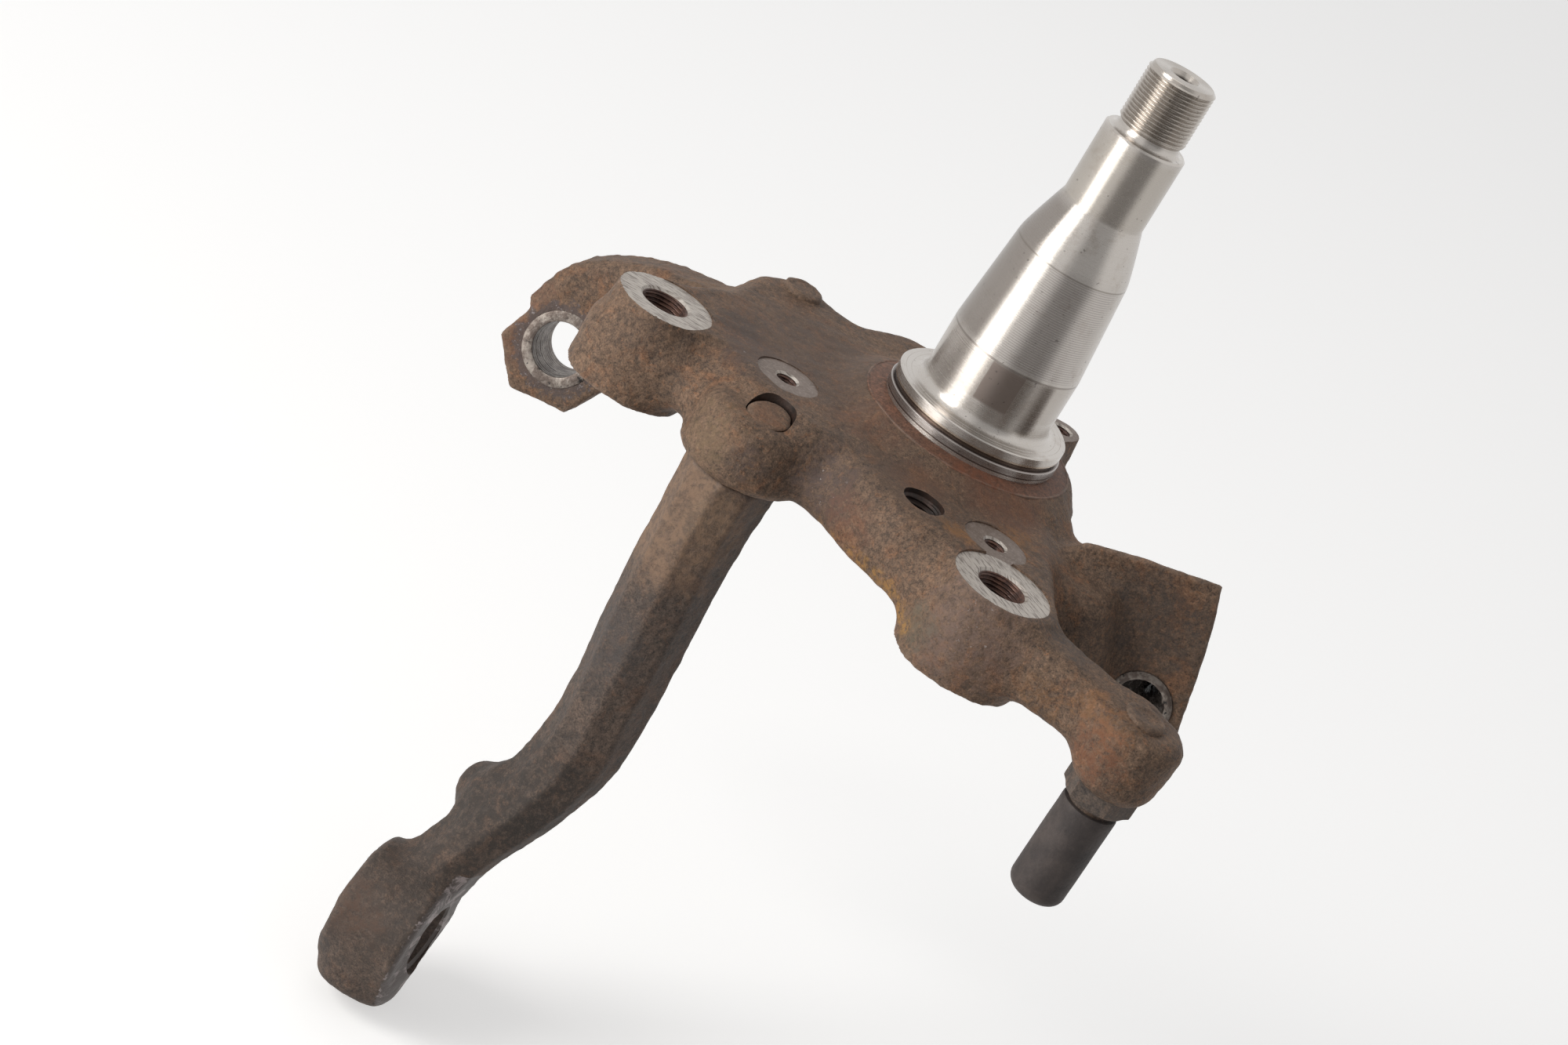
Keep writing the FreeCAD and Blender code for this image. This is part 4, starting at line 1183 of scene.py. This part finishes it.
def buildStud():
    t = smallForms["stud"]
    profile = np.vstack([[(0, t["top"]), (t["r"] - 3.0, t["top"]), (t["r"] - 1.0, t["top"] - 0.4)],
                         stretchRuns([(t["r"], t["top"] - 1.2), (t["r"], t["top"] - 16)], t["pitch"] / 8),
                         [(t["r"], t["low"] + 0.5), (t["r"] - 0.5, t["low"]), (0, t["low"])]])
    helix = thread(t["pitch"], 0.8, t["top"] - 17, t["top"] - 1)

    def ripple(a, h, r):
        p = np.stack([r * np.cos(a), r * np.sin(a), h], -1).reshape(-1, 3)
        worn = 0.5 * lumps(p, 3.0).reshape(a.shape)
        turns = np.where((h < t["top"] - 1.1) & (h > t["top"] - 16.1), helix(a, h, r), 0.0)
        return turns + np.minimum(worn, 0.0)
    points, faces = spun(profile, 64, ripple=ripple)
    points[:, 2] += t["slant"] * points[:, 1] * smoothStep(t["top"] - 16, t["top"], points[:, 2])
    keepMesh("armStud", points + (t["x"], t["y"], 0), faces, [finish["forged"]],
             "arm_stud", 50.0)


def buildScrew():
    # a hexagon is the nearer of six flats: radius = half flats / cos(angle from the flat's middle)
    t = smallForms["screw"]
    top, low = stopForm["faceZ"], stopForm["faceZ"] - t["head"]
    corner = t["flats"] / math.sqrt(3)
    profile = np.vstack([
        [(0, top + t["shank"]), (t["shankR"] - 0.6, top + t["shank"]), (t["shankR"], top + t["shank"] - 0.6),
         (t["shankR"], top), (t["flats"] / 2 - 0.6, top)],
        stretchRuns([(corner, top - 0.05), (corner, low + 0.05)], 1.0),
        [(t["flats"] / 2 - 0.6, low), (t["neckR"], low)],
        [(t["neckR"], low - t["neck"]), (t["neckR"], low - t["neck"] - 18), (0, low - t["neck"] - 18)]])

    def ripple(a, h, r):
        flat = np.mod(a - math.radians(t["turn"]), math.pi / 3) - math.pi / 6
        hexR = t["flats"] / 2 / np.cos(flat)
        bevel = t["flats"] / 2 - 0.3 + 1.9 * np.minimum(top - h, h - low)
        return np.where(r > corner - 0.01, np.minimum(hexR, bevel) - r, 0.0)
    points, faces = spun(profile, 120, ripple=ripple)
    keepMesh("stopScrew", points + (*stopForm["at"], 0), faces, [finish["screw"]],
             "stop_screw", 32.0)


def buildCap():
    # a sleeve with a round end, hollow for the neck; its skin is slightly uneven
    t = smallForms["cap"]
    low, k = t["top"] - t["long"], t["round"]
    a = np.linspace(math.pi / 2, 0, 9)[:, None]
    end = np.hstack([t["r"] - k + k * np.cos(a), low + k - k * np.sin(a)])
    wall = stretchRuns([(t["r"], low + k + 0.5), (t["r"], t["top"] - 1.0)], 1.5)
    profile = np.vstack([[(0, low), (3.0, low)], end, wall,
                         [(t["r"] - 0.3, t["top"] - 0.2), (t["r"] - 0.9, t["top"]),
                         (t["hollowR"], t["top"]), (t["hollowR"], t["top"] - t["hollow"]),
                         (0, t["top"] - t["hollow"])]])

    def ripple(turn, h, r):
        p = np.stack([r * np.cos(turn), r * np.sin(turn), h], -1).reshape(-1, 3)
        return np.where(r > t["hollowR"] + 0.3, np.minimum(0.0, 0.12 * lumps(p, 7.0).reshape(turn.shape) - 0.05), 0.0)
    points, faces = spun(profile, 96, ripple=ripple)
    keepMesh("stopCap", points + (*stopForm["at"], 0), faces, [finish["cap"]], "stop_cap", 30.0)


def buildPads():
    # two round die marks, dished in the middle: on the plate and on the knob of the stop arm
    for name, (x, y, top, r) in pads.items():
        points, faces = spun([(0, top - 0.6), (0.5 * r, top - 0.6), (0.62 * r, top - 0.1), (0.75 * r, top),
                              (r - 0.9, top - 0.1), (r - 0.25, top - 0.5), (r, top - 1.3), (r + 0.2, top - 7),
                              (0, top - 7)], 72)
        worn = 0.25 * lumps(points, 3.0)[:, None] * (0, 0, 1)
        keepMesh(name, points + worn + (x, y, 0), faces, [finish["forged"]],
                 "knuckle_forging", 60.0)


buildStud()
buildPads()
buildScrew()
buildCap()


# The steering arm.

arm = {
    "step": 1.1, "triangles": 120000, "round": 3.4,
    # x, y, z, half width, half depth, front left cut, other corners' cut
    "stations": [(-35.8, -79.5, -46.5, 15.5, 18.5, 7.5, 6), (-35.3, -81.5, -75, 15.0, 17.5, 8, 6.5),
                 (-33.2, -83.5, -110, 15.6, 16.5, 8.5, 6.5), (-29, -87.5, -145, 14.6, 16.5, 9, 6.5),
                 (-27.6, -93, -170, 15.2, 15.5, 9, 6.5), (-31, -101, -193, 14.4, 14.5, 8.5, 6.5),
                 (-38, -110, -217, 13.0, 14, 8, 6.0), (-43.5, -117, -238, 13.2, 16, 7, 6.0)],
    "tieR": 27.6, "tieRearR": 24.0, "tieHalf": mounts["tie_rod_bore"]["dims"]["length_mm"] / 2, "tieEdge": 3.0,
    "mouth": 1.2,
    # raw lumps left by the dies: base, direction, length, base radius, end radius
    "bendLump": ((-41.0, -97.0, -203.5), (-0.96, 0.1, -0.2), 17.5, 14.5, 8.0),
    "barrelLump": (mountSpot("tie_rod_bore") + alongV, (0.112, -0.39, -0.914), 32.5, 17.0, 13.0)}


def barShape(x, y, z):
    # an eight-sided section read at each height from the stations, walls rounded by a set-back
    line = openCurve(arm["stations"], 6)
    order = np.argsort(line[:, 2])
    cx, cy, w, d, k, c = (np.interp(z, line[order, 2], line[order, i]) for i in (0, 1, 3, 4, 5, 6))
    e = arm["round"]
    w, d = w - e, d - e
    corners = [(cx + w, cy - d + c), (cx + w, cy + d - c), (cx + w - c, cy + d), (cx - w + c, cy + d),
               (cx - w, cy + d - c), (cx - w, cy - d + k), (cx - w + k, cy - d), (cx + w - c, cy - d)]
    wall = polygonDistance(x + 0 * cx + 0 * y, y + 0 * cx + 0 * x, corners) - e
    return roundOut(wall * 0.93, np.maximum(z - arm["stations"][0][2], arm["stations"][-1][2] - z), 1.0)


def tubeShape(centre, axis, low, high, lowR, highR, edge):
    # a cone stump along any axis
    axis = np.asarray(axis, float) / np.linalg.norm(axis)

    def shape(x, y, z):
        rx, ry, rz = x - centre[0], y - centre[1], z - centre[2]
        a = rx * axis[0] + ry * axis[1] + rz * axis[2]
        away = np.sqrt(np.maximum(rx * rx + ry * ry + rz * rz - a * a, 0.0))
        t = np.clip((a - low) / (high - low), 0.0, 1.0)
        return roundOut(away - (lowR + (highR - lowR) * t), np.maximum(a - high, low - a), edge)
    return shape


def buildArm():
    low, high = (-76, -162, -293), (-8, -56, -44)
    f = Field(low, high, arm["step"])
    f.join(low, high, barShape, 0.5)
    tie = mountSpot("tie_rod_bore")
    half = arm["tieHalf"]
    f.join(tie - 42, tie + 42,
           tubeShape(tie, alongV, -half, half, arm["tieRearR"], arm["tieR"], arm["tieEdge"]), 5.0)
    for name, blend in (("bendLump", 9.0), ("barrelLump", 8.0)):
        base, way, long, lowR, highR = arm[name]
        base = np.array(base)
        f.join(base - 46, base + 46, tubeShape(base, way, 0, long, lowR, highR, 3.5), blend)
    points, quads, normal = f.relaxed(2)
    print("arm skin", len(points), "points")
    worn = 0.3 * lumps(points, 12.0) + 0.18 * lumps(points, 5.0) + 0.15 * lumps(points + 30, 2.0)
    top = 1 - smoothStep(-3.0, -0.5, points[:, 2] - arm["stations"][0][2])
    skin = points + normal * (worn * top)[:, None]
    r, mouth = mountRadius("tie_rod_bore"), arm["mouth"]
    points, faces = spun([(0, -30), (r, -30), (r, half - mouth + 0.3), (r + mouth, half + 0.3), (r + mouth, 30),
                          (0, 30)], 96)
    stud = smallForms["stud"]
    holes = [(placed(points, tie, alongV), faces),
             drilled((stud["x"], stud["y"], 0), (0, 0, 1), stud["r"], stud["low"], -40)]
    shaped = carved("armRaw", skin, quads, arm["triangles"], [holes])
    r = readFaces(shaped, "center") / mm - tie
    along = r @ alongV
    away = np.linalg.norm(r - along[:, None] * alongV, axis=1)
    front = readFaces(shaped, "normal") @ alongV > 0.35
    worn = (along > half - mouth - 0.2) & front & (away < arm["tieR"] + 3)
    shaped.polygons.foreach_set("material_index", worn.astype(int))
    return keepObject("steeringArm", shaped, [finish["arm"], finish["worn"]], "steering_arm", 38.0)


buildArm()


# Floor, light and camera.

stageForm = {"pale": (0.80, 0.795, 0.785, 1.0), "dark": (0.52, 0.5, 0.485, 1.0), "glow": 0.47,
             "cardAt": -37.0, "cardHalf": 44.0, "cardNear": 0.36, "cardTone": 0.55}  # angles in degrees from +X


def darkCard(tree, way):
    # 1 where a dark sheet lies before the object, out of view: a wedge of compass angle round Z
    x, y, _ = parted(tree, way)
    turn = sums(tree, "ARCTAN2", y, x)
    off = sums(tree, "ABSOLUTE", less(tree, turn, math.radians(stageForm["cardAt"])))
    half = math.radians(stageForm["cardHalf"])
    return between(tree, off, half, half * 0.45)


def backgroundRay(tree):
    # 1 for the rays that show the background: seen straight, in metal or through glass
    seen = tree.nodes.new("ShaderNodeLightPath").outputs
    both = sums(tree, "MAXIMUM", seen["Is Camera Ray"], seen["Is Glossy Ray"])
    return sums(tree, "MAXIMUM", both, seen["Is Transmission Ray"])


def buildFloor():
    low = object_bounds()[0][2] - 0.002
    bpy.ops.mesh.primitive_plane_add(size=12.0, location=(0.0, 0.0, low))
    floor = bpy.context.object
    floor.name = "floor"
    material, tree, shader, where = newMaterial("paleFloor")
    away = vectors(tree, "LENGTH", where, out="Value")
    card = times(tree, darkCard(tree, where),
                between(tree, away, stageForm["cardNear"], stageForm["cardNear"] + 0.15))
    dress(tree, shader, blendColour(tree, card, stageForm["pale"], stageForm["dark"]), 0.9, specular=0.1)
    strength = times(tree, less(tree, 1.0, card), stageForm["glow"])
    glow = put(tree, "ShaderNodeEmission", None, Color=(1.0, 0.99, 0.98, 1.0),
               Strength=times(tree, strength, backgroundRay(tree)))
    both = tree.nodes.new("ShaderNodeAddShader")
    tree.links.new(shader.outputs[0], both.inputs[0])
    tree.links.new(glow.outputs[0], both.inputs[1])
    tree.links.new(both.outputs[0], next(n for n in tree.nodes if n.type == "OUTPUT_MATERIAL").inputs[0])
    floor.data.materials.append(material)


def areaLamp(name, spot, aim, size, power, tint=(1, 1, 1)):
    data = bpy.data.lights.new(name, "AREA")
    data.shape, data.size, data.size_y = "RECTANGLE", size[0], size[1]
    data.energy, data.color = power, tint
    lamp = bpy.data.objects.new(name, data)
    back = np.array(spot, float) - np.array(aim, float)
    back, first, second = sideFrame(back)
    turn = Matrix([[first[i], second[i], back[i]] for i in range(3)])
    lamp.matrix_world = Matrix.Translation(spot) @ turn.to_4x4()
    bpy.context.scene.collection.objects.link(lamp)


def buildLight():
    world = bpy.data.worlds.new("softRoom")
    world.use_nodes = True
    tree = world.node_tree
    tree.nodes.clear()
    soft = put(tree, "ShaderNodeBackground", None, Color=(0.97, 0.98, 1.0, 1.0), Strength=worldLight)
    way = tree.nodes.new("ShaderNodeTexCoord").outputs["Generated"]
    card = darkCard(tree, way)
    shown = less(tree, 1.0, times(tree, card, 1.0 - stageForm["cardTone"]))
    white = put(tree, "ShaderNodeBackground", None, Color=(1, 1, 1, 1), Strength=shown)
    mix = tree.nodes.new("ShaderNodeMixShader")
    tree.links.new(backgroundRay(tree), mix.inputs[0])
    tree.links.new(soft.outputs[0], mix.inputs[1])
    tree.links.new(white.outputs[0], mix.inputs[2])
    out = tree.nodes.new("ShaderNodeOutputWorld")
    tree.links.new(mix.outputs[0], out.inputs[0])
    bpy.context.scene.world = world
    for lamp in lamps:
        areaLamp(*lamp)


worldLight = 0.34
lamps = [("keySoft", (-1.3, -1.85, 1.25), (0, 0, -0.05), (1.1, 1.1), 31.0, (1.0, 0.99, 0.97)),
         ("strip", (-0.315, -0.707, 0.06), (0.047, 0.106, 0.517), (0.34, 0.765), 2.7, (1.0, 0.985, 0.96)),
         ("highSoft", (-0.6, 0.9, 2.4), (0, 0, -0.05), (1.2, 1.2), 5.0, (0.98, 0.99, 1.0))]

view = {  # the photograph's stand point and its right, up and back directions in the part's frame
    "spot": (0.39463, -0.99504, 0.38971), "right": (0.70314, 0.53507, 0.4683),
    "up": (-0.60779, 0.11047, 0.7864),
    "back": (0.36903, -0.83755, 0.40289), "lens": 72.0, "sensor": 36.0}


def buildCamera():
    data = bpy.data.cameras.new("camera")
    data.lens, data.sensor_width, data.sensor_fit = view["lens"], view["sensor"], "HORIZONTAL"
    data.clip_end = 30.0
    camera = bpy.data.objects.new("camera", data)
    turn = Matrix([[view["right"][i], view["up"][i], view["back"][i]] for i in range(3)])
    camera.matrix_world = Matrix.Translation(view["spot"]) @ turn.to_4x4()
    bpy.context.scene.collection.objects.link(camera)
    bpy.context.scene.camera = camera


buildCamera()
buildLight()
buildFloor()
bpy.context.scene.view_settings.view_transform = "Standard"
